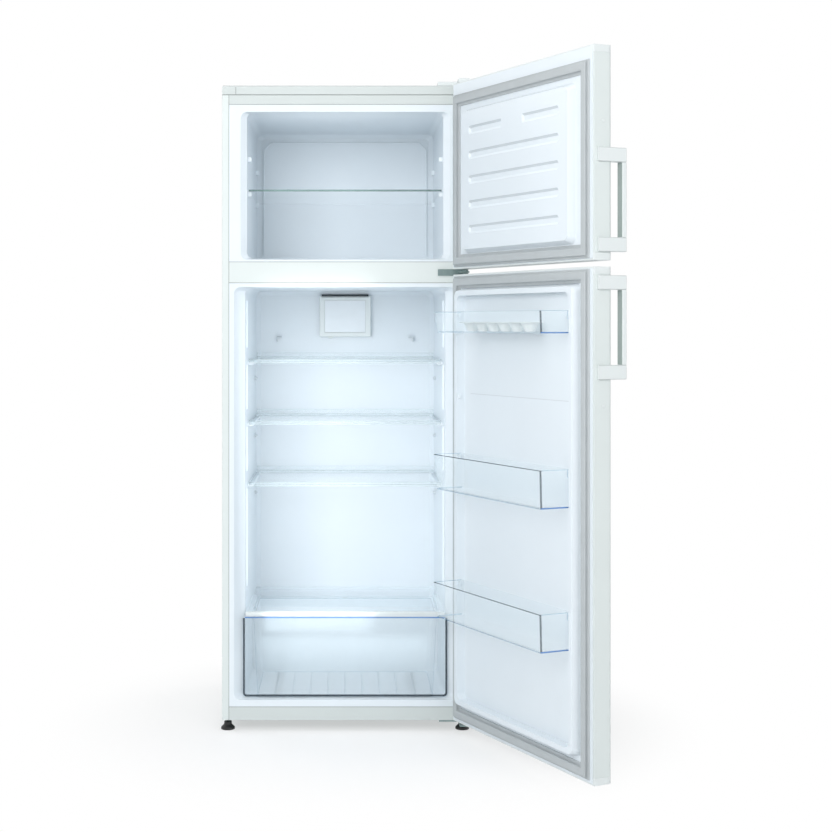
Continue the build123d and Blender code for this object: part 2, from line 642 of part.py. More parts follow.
def freezer_shelf():
    """Glass freezer shelf with rounded front corners."""
    half = FREEZER_HALF - FREEZER_SHELF_GAP
    z = FREEZER_SHELF_Z
    back = CAVITY_BACK - REAR_CHAMFER - FREEZER_SHELF_GAP
    plate = block(-half, half, FREEZER_SHELF_SETBACK, back, z, z + FREEZER_SHELF_GLASS)
    return fillet(plate.edges().filter_by(Axis.Z), CAVITY_RADIUS / 2)


def crisper_drawer():
    """Clear drawer: tapered tub with a ribbed floor and a wider front panel."""
    y0, y1 = DRAWER_SETBACK, RISER_DEPTH - DRAWER_REAR_GAP
    radius, wall = CAVITY_RADIUS / 2, DRAWER_WALL
    low = DRAWER_HALF - DRAWER_TAPER

    def tub(inset, z):
        outer = [lying(z, -low + inset, low - inset, y0 + inset, y1 - inset - DRAWER_TAPER, radius - inset),
                 lying(DRAWER_TOP, -DRAWER_HALF + inset, DRAWER_HALF - inset, y0 + inset, y1 - inset,
                       radius - inset)]
        return loft(outer, ruled=True)

    drawer = tub(0, DRAWER_Z) - tub(wall, DRAWER_Z + wall)
    front = upright(y0 + wall, FRIDGE_HALF + DRAWER_FRONT_GAP, DRAWER_Z, DRAWER_TOP, radius)
    drawer += extrude(front, wall)
    for k in range(DRAWER_RIB_COUNT):
        x = (2 * (k + 1) / (DRAWER_RIB_COUNT + 1) - 1) * low
        drawer += block(x - DRAWER_RIB, x + DRAWER_RIB, y0 + wall, y1 - 2 * DRAWER_TAPER, DRAWER_Z + wall / 2,
                        DRAWER_Z + wall + DRAWER_RIB)
    return drawer


def door_slab(z0, z1, inset=0.0):
    """Door's outer form between two heights, with rounded front uprights, shrunk by an inset."""
    slab = block(-HALF + inset, HALF - inset, DOOR_OUTER + inset, DOOR_INNER, z0, z1)
    edges = [e for e in slab.edges().filter_by(Axis.Z) if e.center().Y < DOOR_INNER - 1]
    return fillet(edges, DOOR_ROUND - inset)


def door_panel(z0, z1):
    """Folded door skin between the end caps, with a return along each upright of the inner face."""
    low, high = z0 + CAP_HEIGHT, z1 - CAP_HEIGHT
    skin = door_slab(low, high) - door_slab(low, high, SHEET)
    for side in (-1, 1):
        x = sorted((side * (HALF - SHEET), side * (HALF - FRONT_FLANGE)))
        skin += block(*x, DOOR_INNER - SHEET, DOOR_INNER, low, high)
    return skin


def door_caps(z0, z1):
    """Plastic end caps with the hinge pins' bores."""
    reach = PIN_REACH + 1
    bore = PIN_RADIUS + PIN_CLEARANCE
    low = door_slab(z0, z0 + CAP_HEIGHT) - rod((HINGE_X, HINGE_Y, z0), (HINGE_X, HINGE_Y, z0 + reach), bore)
    high = door_slab(z1 - CAP_HEIGHT, z1) - rod((HINGE_X, HINGE_Y, z1 - reach), (HINGE_X, HINGE_Y, z1), bore)
    return [low, high]


def door_foam(z0, z1):
    """Foam inside a door skin."""
    low, high = z0 + CAP_HEIGHT, z1 - CAP_HEIGHT
    foam = door_slab(low, high, SHEET)
    for side in (-1, 1):
        x = sorted((side * HALF, side * (HALF - FRONT_FLANGE)))
        foam -= block(*x, DOOR_INNER - SHEET, DOOR_INNER, low, high)
    return foam


def liner_plate(z0, z1):
    """Flat part of a door's inner liner."""
    gap = DOOR_LINER_GAP
    return block(-HALF + gap, HALF - gap, DOOR_INNER, LINER_FACE, z0 + gap, z1 - gap)


def door_gasket(z0, z1):
    """Magnetic seal frame: a flat base and a narrower bead that meets the cabinet."""
    def frame(y0, y1, outer, inner):
        ring = block(-GASKET_HALF + outer, GASKET_HALF - outer, y0, y1, z0 + outer, z1 - outer)
        return ring - block(-GASKET_HALF + inner, GASKET_HALF - inner, y0, y1, z0 + inner, z1 - inner)

    middle = LINER_FACE + GASKET_BASE
    return (frame(LINER_FACE, middle, 0, GASKET_WIDTH)
            + frame(middle, -GASKET_CLEAR, GASKET_LIP, GASKET_WIDTH - GASKET_LIP))


def freezer_plateau(z0, z1, half):
    """Raised field of the freezer door's liner."""
    slope = FREEZER_LINER_RISE / 2
    return loft([upright(LINER_FACE, half, z0, z1, CAVITY_RADIUS),
                 upright(LINER_FACE + FREEZER_LINER_RISE, half - slope, z0 + slope, z1 - slope, CAVITY_RADIUS)],
                ruled=True)


def freezer_door_liner():
    """Freezer door's moulded liner with rows of horizontal grooves, the top one broken in the middle."""
    liner = liner_plate(FREEZER_DOOR_Z, FREEZER_DOOR_TOP)
    half = FREEZER_HALF - FREEZER_LINER_RISE / 4
    z0, z1 = FREEZER_FLOOR + FREEZER_LINER_RISE / 2, FREEZER_TOP - FREEZER_LINER_RISE / 2
    liner += freezer_plateau(z0, z1, half)
    face = LINER_FACE + FREEZER_LINER_RISE
    reach = half - GROOVE_END
    pitch = (z1 - z0 - 2 * GROOVE_MARGIN - GROOVE_HEIGHT) / (FREEZER_GROOVES - 1)
    for k in range(FREEZER_GROOVES):
        z = z0 + GROOVE_MARGIN + k * pitch
        groove = extrude(upright(face, reach, z, z + GROOVE_HEIGHT, GROOVE_HEIGHT / 3), GROOVE_DEPTH)
        if k == FREEZER_GROOVES - 1:
            groove -= block(-CARTOUCHE / 2, CARTOUCHE / 2, LINER_FACE, face, z, z + GROOVE_HEIGHT)
        liner -= groove
    return liner


def fridge_door_liner():
    """Fridge door's moulded inner liner: a raised frame whose inner walls carry the bins' studs."""
    liner = liner_plate(FRIDGE_DOOR_Z, FRIDGE_DOOR_TOP)
    top = LINER_FACE + DYKE_RISE
    slope = DYKE_SLOPE
    frame = loft([upright(LINER_FACE, DYKE_HALF, DYKE_Z, DYKE_TOP_Z, CAVITY_RADIUS),
                  upright(top, DYKE_HALF - slope, DYKE_Z + slope, DYKE_TOP_Z - slope, CAVITY_RADIUS)],
                 ruled=True)
    edge = slope + DYKE_TOP
    frame -= extrude(upright(top, DYKE_INNER, DYKE_Z + edge, DYKE_TOP_Z - edge, CAVITY_RADIUS), DYKE_RISE)
    liner += frame
    levels = [z + height for z, height in BINS.values()] + [SPARE_BIN_Z + EAR_HEIGHT]
    for level in levels:
        liner += stud(level)
        liner += mirrored(stud(level))
    return liner


def stud(bin_top):
    """Stud on the right inner wall of the fridge door's frame, under a bin's ear."""
    y = BIN_BACK + EAR_WIDTH / 2
    z = bin_top - EAR_CAP
    return block(BIN_HALF + EAR_GAP, DYKE_INNER + DYKE_TOP / 2, y - STUD_WIDTH / 2, y + STUD_WIDTH / 2,
                 z - STUD_HEIGHT, z)


def door_bin(z, height):
    """Clear bin with tapered walls and an ear at each end that drops over a stud."""
    radius = BIN_ROUND

    def tub(inset, low):
        taper = BIN_TAPER + inset
        return loft([lying(low, -BIN_HALF + taper, BIN_HALF - taper, BIN_BACK + inset,
                           BIN_BACK + BIN_DEPTH - taper, radius - inset),
                     lying(z + height, -BIN_HALF + inset, BIN_HALF - inset, BIN_BACK + inset,
                           BIN_BACK + BIN_DEPTH - inset, radius - inset)], ruled=True)

    tray = tub(0, z) - tub(BIN_WALL, z + BIN_WALL)
    top = z + height
    for side in (-1, 1):
        x = sorted((side * (BIN_HALF - BIN_TAPER / 2), side * (DYKE_INNER - EAR_GAP)))
        ear = block(*x, BIN_BACK, BIN_BACK + EAR_WIDTH, top - EAR_HEIGHT, top) - tub(BIN_WALL, z + BIN_WALL)
        y = BIN_BACK + EAR_WIDTH / 2
        reach = STUD_WIDTH / 2 + EAR_GAP
        slot = sorted((side * BIN_HALF, side * DYKE_INNER))
        tray += ear - block(*slot, y - reach, y + reach, z, top - EAR_CAP)
    return tray


def egg_tray():
    """Egg tray standing in the upper bin: a plate from which a row of tapered cups hangs."""
    y = BIN_BACK + (BIN_DEPTH - BIN_TAPER) / 2
    z = UPPER_BIN_Z + BIN_WALL
    half, depth = EGG_TRAY_LENGTH / 2, EGG_TRAY_DEPTH / 2
    top = z + EGG_TRAY_HEIGHT
    tray = extrude(lying(top - EGG_CUP_WALL, -half, half, y - depth, y + depth, EGG_TRAY_ROUND), EGG_CUP_WALL)
    places = [((2 * k + 1 - EGG_CUPS) / EGG_CUPS * half, y) for k in range(EGG_CUPS)]
    for place in places:
        tray += Solid.make_cone(EGG_CUP_RADIUS * 0.5, EGG_CUP_RADIUS + EGG_CUP_WALL, EGG_TRAY_HEIGHT,
                                Plane(origin=(*place, z)))
    for place in places:
        tray -= Solid.make_cone(EGG_CUP_RADIUS * 0.6, EGG_CUP_RADIUS, EGG_CUP_DEPTH,
                                Plane(origin=(*place, top - EGG_CUP_DEPTH)))
    return tray


def handle_blocks(z0, z1):
    """Handle's end brackets, which wrap the door's free edge and stand out in front of it."""
    blocks = []
    for z in (z0, z1 - BLOCK_HEIGHT):
        foot = block(-HALF - BLOCK_WRAP, -HALF - BLOCK_WRAP + BAR_WIDTH, bar_front(), DOOR_OUTER + BLOCK_BACK,
                     z, z + BLOCK_HEIGHT)
        foot = fillet([e for e in foot.edges().filter_by(Axis.Z) if e.center().Y < DOOR_OUTER], BLOCK_WRAP / 2)
        blocks.append(foot - door_slab(z - 1, z + BLOCK_HEIGHT + 1))
    return blocks


def bar_front():
    """Depth of the handle bars' front face."""
    return DOOR_OUTER - BAR_STANDOFF - BAR_THICKNESS


def handle_bar(z0, z1):
    """Handle bar between its brackets."""
    x = -HALF - BLOCK_WRAP
    bar = block(x, x + BAR_WIDTH, bar_front(), bar_front() + BAR_THICKNESS,
                z0 + BLOCK_HEIGHT, z1 - BLOCK_HEIGHT)
    return fillet(bar.edges().filter_by(Axis.Z), BLOCK_WRAP / 2)


def plug(z):
    """Flat plug over an unused handle hole in the door's free edge."""
    y = (DOOR_OUTER + DOOR_INNER) / 2
    return rod((-HALF - 1, y, z), (-HALF, y, z), PLUG_RADIUS)


def top_hinge():
    """Top hinge: a plate screwed to the lid, with a pin down into the freezer door's cap."""
    z0, z1 = LID_TOP, LID_TOP + HINGE_PLATE
    room = HINGE_COVER_WALL + HINGE_COVER_GAP
    plate = block(HINGE_X - HINGE_LENGTH, HALF - room, LID_ROUND + room, 2 * HINGE_ARM, z0, z1)
    plate += block(HINGE_X - HINGE_ARM / 2, HALF - room, HINGE_Y - HINGE_ARM / 2, 2 * HINGE_ARM, z0, z1)
    plate += rod((HINGE_X, HINGE_Y, FREEZER_DOOR_TOP - PIN_REACH), (HINGE_X, HINGE_Y, z0), PIN_RADIUS)
    for x, y in lid_screws():
        plate -= rod((x, y, z0), (x, y, z1), SCREW_RADIUS)
    return plate


def top_hinge_cover():
    """Cap over the top hinge."""
    wall = HINGE_COVER_WALL
    top = LID_TOP + HINGE_PLATE + SCREW_HEAD_HEIGHT + HINGE_COVER_GAP + wall
    room = HINGE_COVER_GAP + wall
    x0, y0, y1 = HINGE_X - HINGE_LENGTH - room, HINGE_Y - HINGE_ARM / 2 - room, 2 * HINGE_ARM + room
    cap = block(x0, HALF, y0, y1, LID_TOP, top)
    cap -= block(x0, HINGE_X - HINGE_ARM / 2 - room, y0, LID_ROUND, LID_TOP, top)
    cap = fillet([e for e in cap.edges() if e.center().Z > top - 0.1], wall)
    inner = block(x0 + wall, HALF - wall, y0 + wall, y1 - wall, LID_TOP, top - wall)
    inner -= block(x0, HINGE_X - HINGE_ARM / 2 - HINGE_COVER_GAP, y0, LID_ROUND + wall, LID_TOP, top)
    return cap - inner


def middle_hinge():
    """Middle hinge: a tab screwed to the middle rail and an arm with a pin for each door."""
    middle = RAIL_Z + MIDDLE_RAIL_HEIGHT / 2
    z0, z1 = middle - HINGE_PLATE / 2, middle + HINGE_PLATE / 2
    tab = block(INNER_HALF - HINGE_LENGTH, HALF, -HINGE_TAB, 0,
                middle - TAB_HEIGHT / 2, middle + TAB_HEIGHT / 2)
    arm = block(HINGE_X - HINGE_ARM / 2, HALF, HINGE_Y - HINGE_ARM / 2, 0, z0, z1)
    arm = fillet([e for e in arm.edges().filter_by(Axis.Z) if e.center().Y < HINGE_Y], HINGE_ARM / 4)
    pins = rod((HINGE_X, HINGE_Y, FRIDGE_DOOR_TOP - PIN_REACH),
               (HINGE_X, HINGE_Y, FREEZER_DOOR_Z + PIN_REACH), PIN_RADIUS)
    hinge = tab + arm + pins
    for x, z in rail_screws():
        hinge -= rod((x, -HINGE_TAB, z), (x, 0, z), SCREW_RADIUS)
    return hinge


def bottom_hinge():
    """Bottom hinge: a plate under the base, held by the right foot, with a pin into the fridge door's cap."""
    z0, z1 = BASE_HEIGHT - HINGE_PLATE, BASE_HEIGHT
    plate = block(FOOT_X - HINGE_LENGTH, HALF, HINGE_Y - HINGE_ARM / 2, FOOT_SETBACK + HINGE_ARM, z0, z1)
    plate -= block(0, HINGE_X - HINGE_ARM / 2, HINGE_Y - HINGE_ARM, 0, z0, z1)
    plate += rod((HINGE_X, HINGE_Y, z1), (HINGE_X, HINGE_Y, FRIDGE_DOOR_Z + PIN_REACH), PIN_RADIUS)
    return plate - rod((FOOT_X, FOOT_SETBACK, z0), (FOOT_X, FOOT_SETBACK, z1), FOOT_STEM + FIT)


def screw(seat, inward):
    """Flat-headed screw whose head sits on a face at the point seat, its shank running inward."""
    seat, inward = Vector(*seat), Vector(*inward)
    head = rod(seat, seat - inward * SCREW_HEAD_HEIGHT, SCREW_HEAD)
    return head + rod(seat, seat + inward * SCREW_LENGTH, SCREW_RADIUS)


def cabinet_screws():
    """Screws of the top and middle hinges."""
    top = [screw((x, y, LID_TOP + HINGE_PLATE), (0, 0, -1)) for x, y in lid_screws()]
    return top + [screw((x, -HINGE_TAB, z), (0, 1, 0)) for x, z in rail_screws()]


def grommet_places():
    """Centres of the compressor's four grommets."""
    x, y = COMPRESSOR_WIDTH / 2, COMPRESSOR_DEPTH / 2 - GROMMET_RADIUS
    return [(COMPRESSOR_OFFSET + sx * x, COMPRESSOR_Y + sy * y) for sx in (-1, 1) for sy in (-1, 1)]


def compressor():
    """Welded compressor shell with its seam and foot plate."""
    def outline(z, grow):
        x, y = COMPRESSOR_WIDTH / 2 + grow, COMPRESSOR_DEPTH / 2 + grow
        return Pos(COMPRESSOR_OFFSET, COMPRESSOR_Y, z) * RectangleRounded(2 * x, 2 * y, COMPRESSOR_CORNER)

    shell = extrude(outline(COMPRESSOR_Z, 0), COMPRESSOR_HEIGHT)
    rims = [e for e in shell.edges() if abs(e.center().Z - COMPRESSOR_Z - COMPRESSOR_HEIGHT / 2) > 1]
    rims = [e for e in rims if abs(e.center().Z - COMPRESSOR_Z) < 1 or abs(e.center().Z - COMPRESSOR_TOP) < 1]
    shell = fillet(rims, COMPRESSOR_ROUND)
    shell += extrude(outline(COMPRESSOR_Z + COMPRESSOR_HEIGHT / 2, SEAM_RISE), SEAM_RISE)
    x, y = COMPRESSOR_WIDTH / 2 + GROMMET_RADIUS, COMPRESSOR_DEPTH / 2
    shell += block(COMPRESSOR_OFFSET - x, COMPRESSOR_OFFSET + x, COMPRESSOR_Y - y, COMPRESSOR_Y + y,
                   COMPRESSOR_Z - FOOT_PLATE, COMPRESSOR_Z)
    return shell


def compressor_grommets():
    """Rubber mounts between the compressor's foot plate and the plate below it."""
    base = PLATE_TOP
    return [rod((x, y, base), (x, y, base + GROMMET_HEIGHT), GROMMET_RADIUS)
            + rod((x, y, BASE_HEIGHT), (x, y, base), GROMMET_RADIUS / 2) for x, y in grommet_places()]


def relay_cover(shell):
    """Cover of the starting relay on the compressor's left side, with the mains cord's inlet collar."""
    x1 = COMPRESSOR_OFFSET - COMPRESSOR_WIDTH / 2 + SEAM_RISE
    x0, z = x1 - RELAY_WIDTH, COMPRESSOR_Z + (COMPRESSOR_HEIGHT - RELAY_HEIGHT) / 2
    half = RELAY_DEPTH / 2
    cover = block(x0, x1, COMPRESSOR_Y - half, COMPRESSOR_Y + half, z, z + RELAY_HEIGHT)
    cover = fillet([e for e in cover.edges() if e.center().X < x0 + 1], CORD_INLET_RADIUS / 2)
    inlet = ((x0 + x1) / 2, COMPRESSOR_Y + half, z + 2 * CORD_INLET_RADIUS)
    end = (inlet[0], inlet[1] + CORD_INLET_RADIUS, inlet[2])
    cover += rod(inlet, end, CORD_INLET_RADIUS)
    cover -= rod(inlet, end, CORD_INLET_RADIUS / 2)
    return cover - shell


def evaporation_tray():
    """Open tray on top of the compressor, under the drain tube."""
    x, y, z = TRAY_WIDTH / 2, TRAY_DEPTH / 2, COMPRESSOR_TOP
    wall = TRAY_WALL
    outer = extrude(lying(z, COMPRESSOR_OFFSET - x, COMPRESSOR_OFFSET + x, COMPRESSOR_Y - y, COMPRESSOR_Y + y,
                          CAVITY_RADIUS), TRAY_HEIGHT)
    inner = extrude(lying(z + wall, COMPRESSOR_OFFSET - x + wall, COMPRESSOR_OFFSET + x - wall,
                          COMPRESSOR_Y - y + wall, COMPRESSOR_Y + y - wall, CAVITY_RADIUS - wall), TRAY_HEIGHT)
    return outer - inner


def tube(points, radius, bend):
    """Round tube along a path of straight runs with rounded corners."""
    path = FilletPolyline(*points, radius=bend)
    start = Plane(origin=path @ 0, z_dir=path % 0)
    return sweep(start * Circle(radius), path=path)


def run_end():
    """Half length of the condenser's straight runs."""
    return CONDENSER_WIDTH / 2 - CONDENSER_PITCH / 2


def condenser():
    """Wire-and-tube condenser: one tube bent to and fro, with upright wires against both sides."""
    edges = []
    side = 1
    for k in range(CONDENSER_RUNS):
        z = CONDENSER_TOP - k * CONDENSER_PITCH
        end = run_end()
        edges.append(Line((side * end, CONDENSER_Y, z), (-side * end, CONDENSER_Y, z)))
        side = -side
        if k < CONDENSER_RUNS - 1:
            low = z - CONDENSER_PITCH
            crest = (side * (end + CONDENSER_PITCH / 2), CONDENSER_Y, (z + low) / 2)
            edges.append(ThreePointArc((side * end, CONDENSER_Y, z), crest, (side * end, CONDENSER_Y, low)))
    path = Wire(edges)
    start = Plane(origin=(run_end(), CONDENSER_Y, CONDENSER_TOP), z_dir=(-1, 0, 0))
    pieces = [sweep(start * Circle(CONDENSER_TUBE), path=path)]
    offset = CONDENSER_TUBE + WIRE_RADIUS
    for x in wire_places():
        for y in (CONDENSER_Y - offset, CONDENSER_Y + offset):
            low, high = CONDENSER_Z - BRACKET_WIDTH / 2, CONDENSER_TOP + BRACKET_WIDTH / 2
            pieces.append(rod((x, y, low), (x, y, high), WIRE_RADIUS))
    return pieces


def wire_places():
    """Positions of the condenser's wires along its runs."""
    pitch = 2 * run_end() / (WIRE_COUNT + 1)
    return [(k + 1) * pitch - run_end() for k in range(WIRE_COUNT)]


def condenser_brackets():
    """Spacers that clasp the condenser's tube and hold it off the rear panel, set between two wires."""
    wires = wire_places()
    xs = [(wires[0] + wires[1]) / 2, (wires[-1] + wires[-2]) / 2]
    half = BRACKET_WIDTH / 2
    spacers = []
    for x in xs:
        for z in (CONDENSER_Z, CONDENSER_TOP):
            spacer = block(x - half, x + half, REAR_FACE, CONDENSER_Y + 2 * CONDENSER_TUBE, z - half, z + half)
            groove = rod((x - half, CONDENSER_Y, z), (x + half, CONDENSER_Y, z), CONDENSER_TUBE)
            spacers.append(spacer - groove)
    return spacers


def refrigerant_pipes():
    """Discharge pipe to the condenser's top, suction pipe from the rear panel, and the drier."""
    right = COMPRESSOR_OFFSET + COMPRESSOR_WIDTH / 2
    seam = COMPRESSOR_Z + COMPRESSOR_HEIGHT / 2
    bend = 4 * PIPE_RADIUS
    lane = CONDENSER_WIDTH / 2 + bend
    high, low = seam + 2 * bend / 3, seam - bend
    discharge = tube([(right, COMPRESSOR_Y, high), (lane, COMPRESSOR_Y, high), (lane, CONDENSER_Y, high),
                      (lane, CONDENSER_Y, CONDENSER_TOP), (run_end(), CONDENSER_Y, CONDENSER_TOP)],
                     PIPE_RADIUS, bend)
    lane += bend
    outside = REAR_FACE + bend + PIPE_RADIUS
    suction = tube([(right, COMPRESSOR_Y, low), (lane, COMPRESSOR_Y, low), (lane, outside, low),
                    (lane, outside, CONDENSER_Z), (lane, REAR_FACE, CONDENSER_Z)], PIPE_RADIUS, bend)
    side = -1 if CONDENSER_RUNS % 2 else 1
    lane = side * (CONDENSER_WIDTH / 2 + 3 * bend * (side > 0))
    top = CONDENSER_Z - 2 * bend
    liquid = tube([(side * run_end(), CONDENSER_Y, CONDENSER_Z), (lane, CONDENSER_Y, CONDENSER_Z),
                   (lane, CONDENSER_Y, top)], PIPE_RADIUS, bend)
    bottom = top - DRIER_LENGTH
    liquid += rod((lane, CONDENSER_Y, top), (lane, CONDENSER_Y, bottom), DRIER_RADIUS)
    inside = CABINET_DEPTH - 3 * bend
    capillary = tube([(lane, CONDENSER_Y, bottom), (lane, CONDENSER_Y, bottom - 2 * bend),
                      (lane, inside, bottom - 2 * bend), (lane, inside, NICHE_ROOF)], PIPE_RADIUS, bend)
    return [discharge, suction, liquid + capillary]


def stem_top():
    """Height of the front feet's stem ends."""
    return FOOT_HEIGHT + FOOT_STEM_LENGTH


def front_foot(x):
    """Levelling foot: a flared pad on a narrow neck, and its stem."""
    neck = FOOT_HEIGHT - FOOT_NECK
    profile = Plane.XZ * make_face(Polyline(
        (0, 0), (FOOT_RADIUS, 0), (FOOT_RADIUS, FOOT_NECK / 4), (FOOT_NECK, neck / 2 + FOOT_NECK / 4),
        (FOOT_NECK, FOOT_HEIGHT), (FOOT_STEM, FOOT_HEIGHT), (FOOT_STEM, stem_top()), (0, stem_top()), (0, 0)))
    return Pos(x, FOOT_SETBACK, 0) * revolve(profile, Axis.Z)


def rear_roller(x):
    """Rear roller on its own short axle."""
    half = ROLLER_WIDTH / 2
    wheel = rod((x - half, ROLLER_Y, ROLLER_RADIUS), (x + half, ROLLER_Y, ROLLER_RADIUS), ROLLER_RADIUS)
    reach = half + 1 + LUG_WALL
    return wheel + rod((x - reach, ROLLER_Y, ROLLER_RADIUS), (x + reach, ROLLER_Y, ROLLER_RADIUS), AXLE_RADIUS)


def cabinet_parts():
    """Every piece of the standing cabinet, by node name."""
    plates = evaporator_plates()
    motor = compressor()
    housing = lamp_housing()
    return {
        "side_panel_right": side_panel(),
        "side_panel_left": mirrored(side_panel()),
        "rear_panel": rear_panel(),
        "top_cover": top_cover(),
        "middle_rail": middle_rail(),
        "top_rail_and_plinth": [front_strip(TOP_RAIL_Z, LID_Z), front_strip(BASE_HEIGHT, FRIDGE_FLANGE_Z)],
        "base_pan": base_pan(),
        "compressor_plate": compressor_plate(),
        "insulation_foam": insulation_foam(plates),
        "freezer_liner": freezer_liner(),
        "fridge_liner": fridge_liner(),
        "evaporator_plates": plates,
        "lamp_housing": housing,
        "lamp_lens": lamp_lens(),
        "thermostat_dial": thermostat_dial(),
        "drain_tube": drain_path(DRAIN_RADIUS) - drain_path(DRAIN_RADIUS - DRAIN_WALL),
        "evaporation_tray": evaporation_tray(),
        "compressor": motor,
        "relay_cover": relay_cover(motor),
        "compressor_grommets": compressor_grommets(),
        "condenser": condenser(),
        "condenser_brackets": condenser_brackets(),
        "refrigerant_pipes": refrigerant_pipes(),
        "top_hinge": top_hinge(),
        "top_hinge_cover": top_hinge_cover(),
        "middle_hinge": middle_hinge(),
        "bottom_hinge": bottom_hinge(),
        "cabinet_screws": cabinet_screws(),
        "front_foot_left": front_foot(-FOOT_X),
        "front_foot_right": front_foot(FOOT_X),
        "rear_roller_left": rear_roller(-ROLLER_X),
        "rear_roller_right": rear_roller(ROLLER_X),
    }


def shelf_parts():
    """Shelves, crisper cover and drawer, by node name."""
    parts = {"freezer_shelf_glass": freezer_shelf(), "crisper_drawer": crisper_drawer()}
    names = ["shelf_upper", "shelf_middle", "shelf_lower", *(f"shelf_extra_{k}" for k in range(SHELF_COUNT))]
    for name, top in zip(names, SHELF_TOPS):
        glass, trims = shelf(top, SHELF_HALF, SHELF_HALF, SHELF_SETBACK, SHELF_BACK, REAR_TRIM_RISE)
        parts[f"{name}_glass"], parts[f"{name}_trims"] = glass, trims
    glass, trims = shelf(COVER_Z + SHELF_GLASS, SHELF_HALF, FRIDGE_HALF - SHELF_SIDE_GAP, COVER_SETBACK,
                         CAVITY_BACK - COVER_REAR_GAP, 0)
    parts["crisper_cover_glass"], parts["crisper_cover_trims"] = glass, trims
    return parts


def door_parts():
    """Both doors as they stand when closed, by node name."""
    doors = {
        "freezer": (FREEZER_DOOR_Z, FREEZER_DOOR_TOP, freezer_door_liner(), FREEZER_GASKET_END,
                    FREEZER_GASKET_TOP),
        "fridge": (FRIDGE_DOOR_Z, FRIDGE_DOOR_TOP, fridge_door_liner(), FRIDGE_GASKET_END, FRIDGE_GASKET_TOP),
    }
    low = FREEZER_DOOR_Z + HANDLE_INSET
    high = FRIDGE_DOOR_TOP - HANDLE_INSET
    handles = {"freezer": (low, low + HANDLE_LENGTH), "fridge": (high - HANDLE_LENGTH, high)}
    plugs = {"freezer": low + HANDLE_LENGTH + PLUG_RISE, "fridge": high - HANDLE_LENGTH - PLUG_RISE}
    parts = {}
    for name, (z0, z1, liner, gasket_end, gasket_top) in doors.items():
        parts[f"{name}_door_panel"] = door_panel(z0, z1)
        parts[f"{name}_door_caps"] = door_caps(z0, z1) + [plug(plugs[name])]
        parts[f"{name}_door_foam"] = door_foam(z0, z1)
        parts[f"{name}_door_liner"] = liner
        parts[f"{name}_door_gasket"] = door_gasket(z0 + gasket_end, z1 - gasket_top)
        parts[f"{name}_handle_brackets"] = handle_blocks(*handles[name])
        parts[f"{name}_handle_bar"] = handle_bar(*handles[name])
    for name, (z, height) in BINS.items():
        parts[name] = door_bin(z, height)
    parts["egg_tray"] = egg_tray()
    return parts


def write(name, shape):
    """Write one piece in the part's own frame."""
    solids = shape if isinstance(shape, list) else [shape]
    solids = [solid for piece in solids for solid in piece.solids()]
    moved = [Pos(-Vector(*ORIGIN)) * solid for solid in solids]
    export_step(moved[0] if len(moved) == 1 else Compound(moved), f"parts/{name}.step")


def main():
    """Build every piece, swing the doors open and write the files."""
    os.makedirs("parts", exist_ok=True)
    for name, shape in {**cabinet_parts(), **shelf_parts()}.items():
        write(name, shape)
    for name, shape in door_parts().items():
        pieces = shape if isinstance(shape, list) else [shape]
        write(name, [piece.rotate(HINGE_AXIS, DOOR_OPEN) for piece in pieces])


if __name__ == "__main__":
    main()
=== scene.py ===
"""Dresses the top freezer refrigerator that the frame holds, piece by piece, and sets its stage.

Lengths are in metres in the row frame: X to the right, Y to the rear, Z up from the floor under the front
left foot. The doors stand open as they do at rest.
"""
import json
import math

import bmesh
import bpy
from bpy.props import FloatProperty, FloatVectorProperty, IntProperty, PointerProperty
from mathutils import Matrix, Vector


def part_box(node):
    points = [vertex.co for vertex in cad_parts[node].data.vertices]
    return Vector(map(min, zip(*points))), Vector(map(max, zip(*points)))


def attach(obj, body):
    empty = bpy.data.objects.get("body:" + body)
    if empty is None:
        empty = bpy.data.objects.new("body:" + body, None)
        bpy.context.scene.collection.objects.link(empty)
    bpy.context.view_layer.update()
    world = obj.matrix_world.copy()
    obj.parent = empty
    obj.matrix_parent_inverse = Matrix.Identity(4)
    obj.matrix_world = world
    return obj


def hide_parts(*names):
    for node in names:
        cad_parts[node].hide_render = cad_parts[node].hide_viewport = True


bl_info = {
    "name": "Top freezer refrigerator",
    "version": (1, 0, 0),
    "blender": (4, 5, 0),
    "location": "3D View > Sidebar > Refrigerator",
    "description": "Dresses the refrigerator's pieces with rounded edges, finishes and small fittings",
    "category": "Object",
}

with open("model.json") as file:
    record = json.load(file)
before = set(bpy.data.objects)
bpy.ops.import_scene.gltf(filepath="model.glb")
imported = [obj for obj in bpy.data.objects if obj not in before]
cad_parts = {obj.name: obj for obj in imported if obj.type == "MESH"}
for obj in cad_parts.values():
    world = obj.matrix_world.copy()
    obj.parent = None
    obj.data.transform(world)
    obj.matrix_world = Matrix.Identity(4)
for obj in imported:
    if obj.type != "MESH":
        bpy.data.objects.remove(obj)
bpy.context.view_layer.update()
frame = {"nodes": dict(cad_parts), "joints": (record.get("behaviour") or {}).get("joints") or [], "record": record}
BODIES = frame["record"]["behaviour"]["bodies"]
BODY_OF = {node: body for body, nodes in BODIES.items() for node in nodes}
SLOT_OF = {entry["node"]: entry["material_slot"] for entry in frame["record"]["subparts"]}
FINISHES = {}

# How the solids' meshes are joined, flattened and rounded
WELD_DISTANCE = 0.000004
FLAT_ANGLE = math.radians(0.4)
SHARP_ANGLE = math.radians(34.0)
LARGE_FACE_WEIGHT = 100

# Finishes: the ends of the colour's drift, how far it moves the gloss, and the fine grain
RAMP_START, RAMP_END = 0.3, 0.7
GLOSS_DRIFT = 0.1
GRAIN_FINENESS, GRAIN_DETAIL, GRAIN_STRENGTH = 40.0, 2.0, 0.25
GLASS_IOR, CLEAR_IOR = 1.5, 1.49

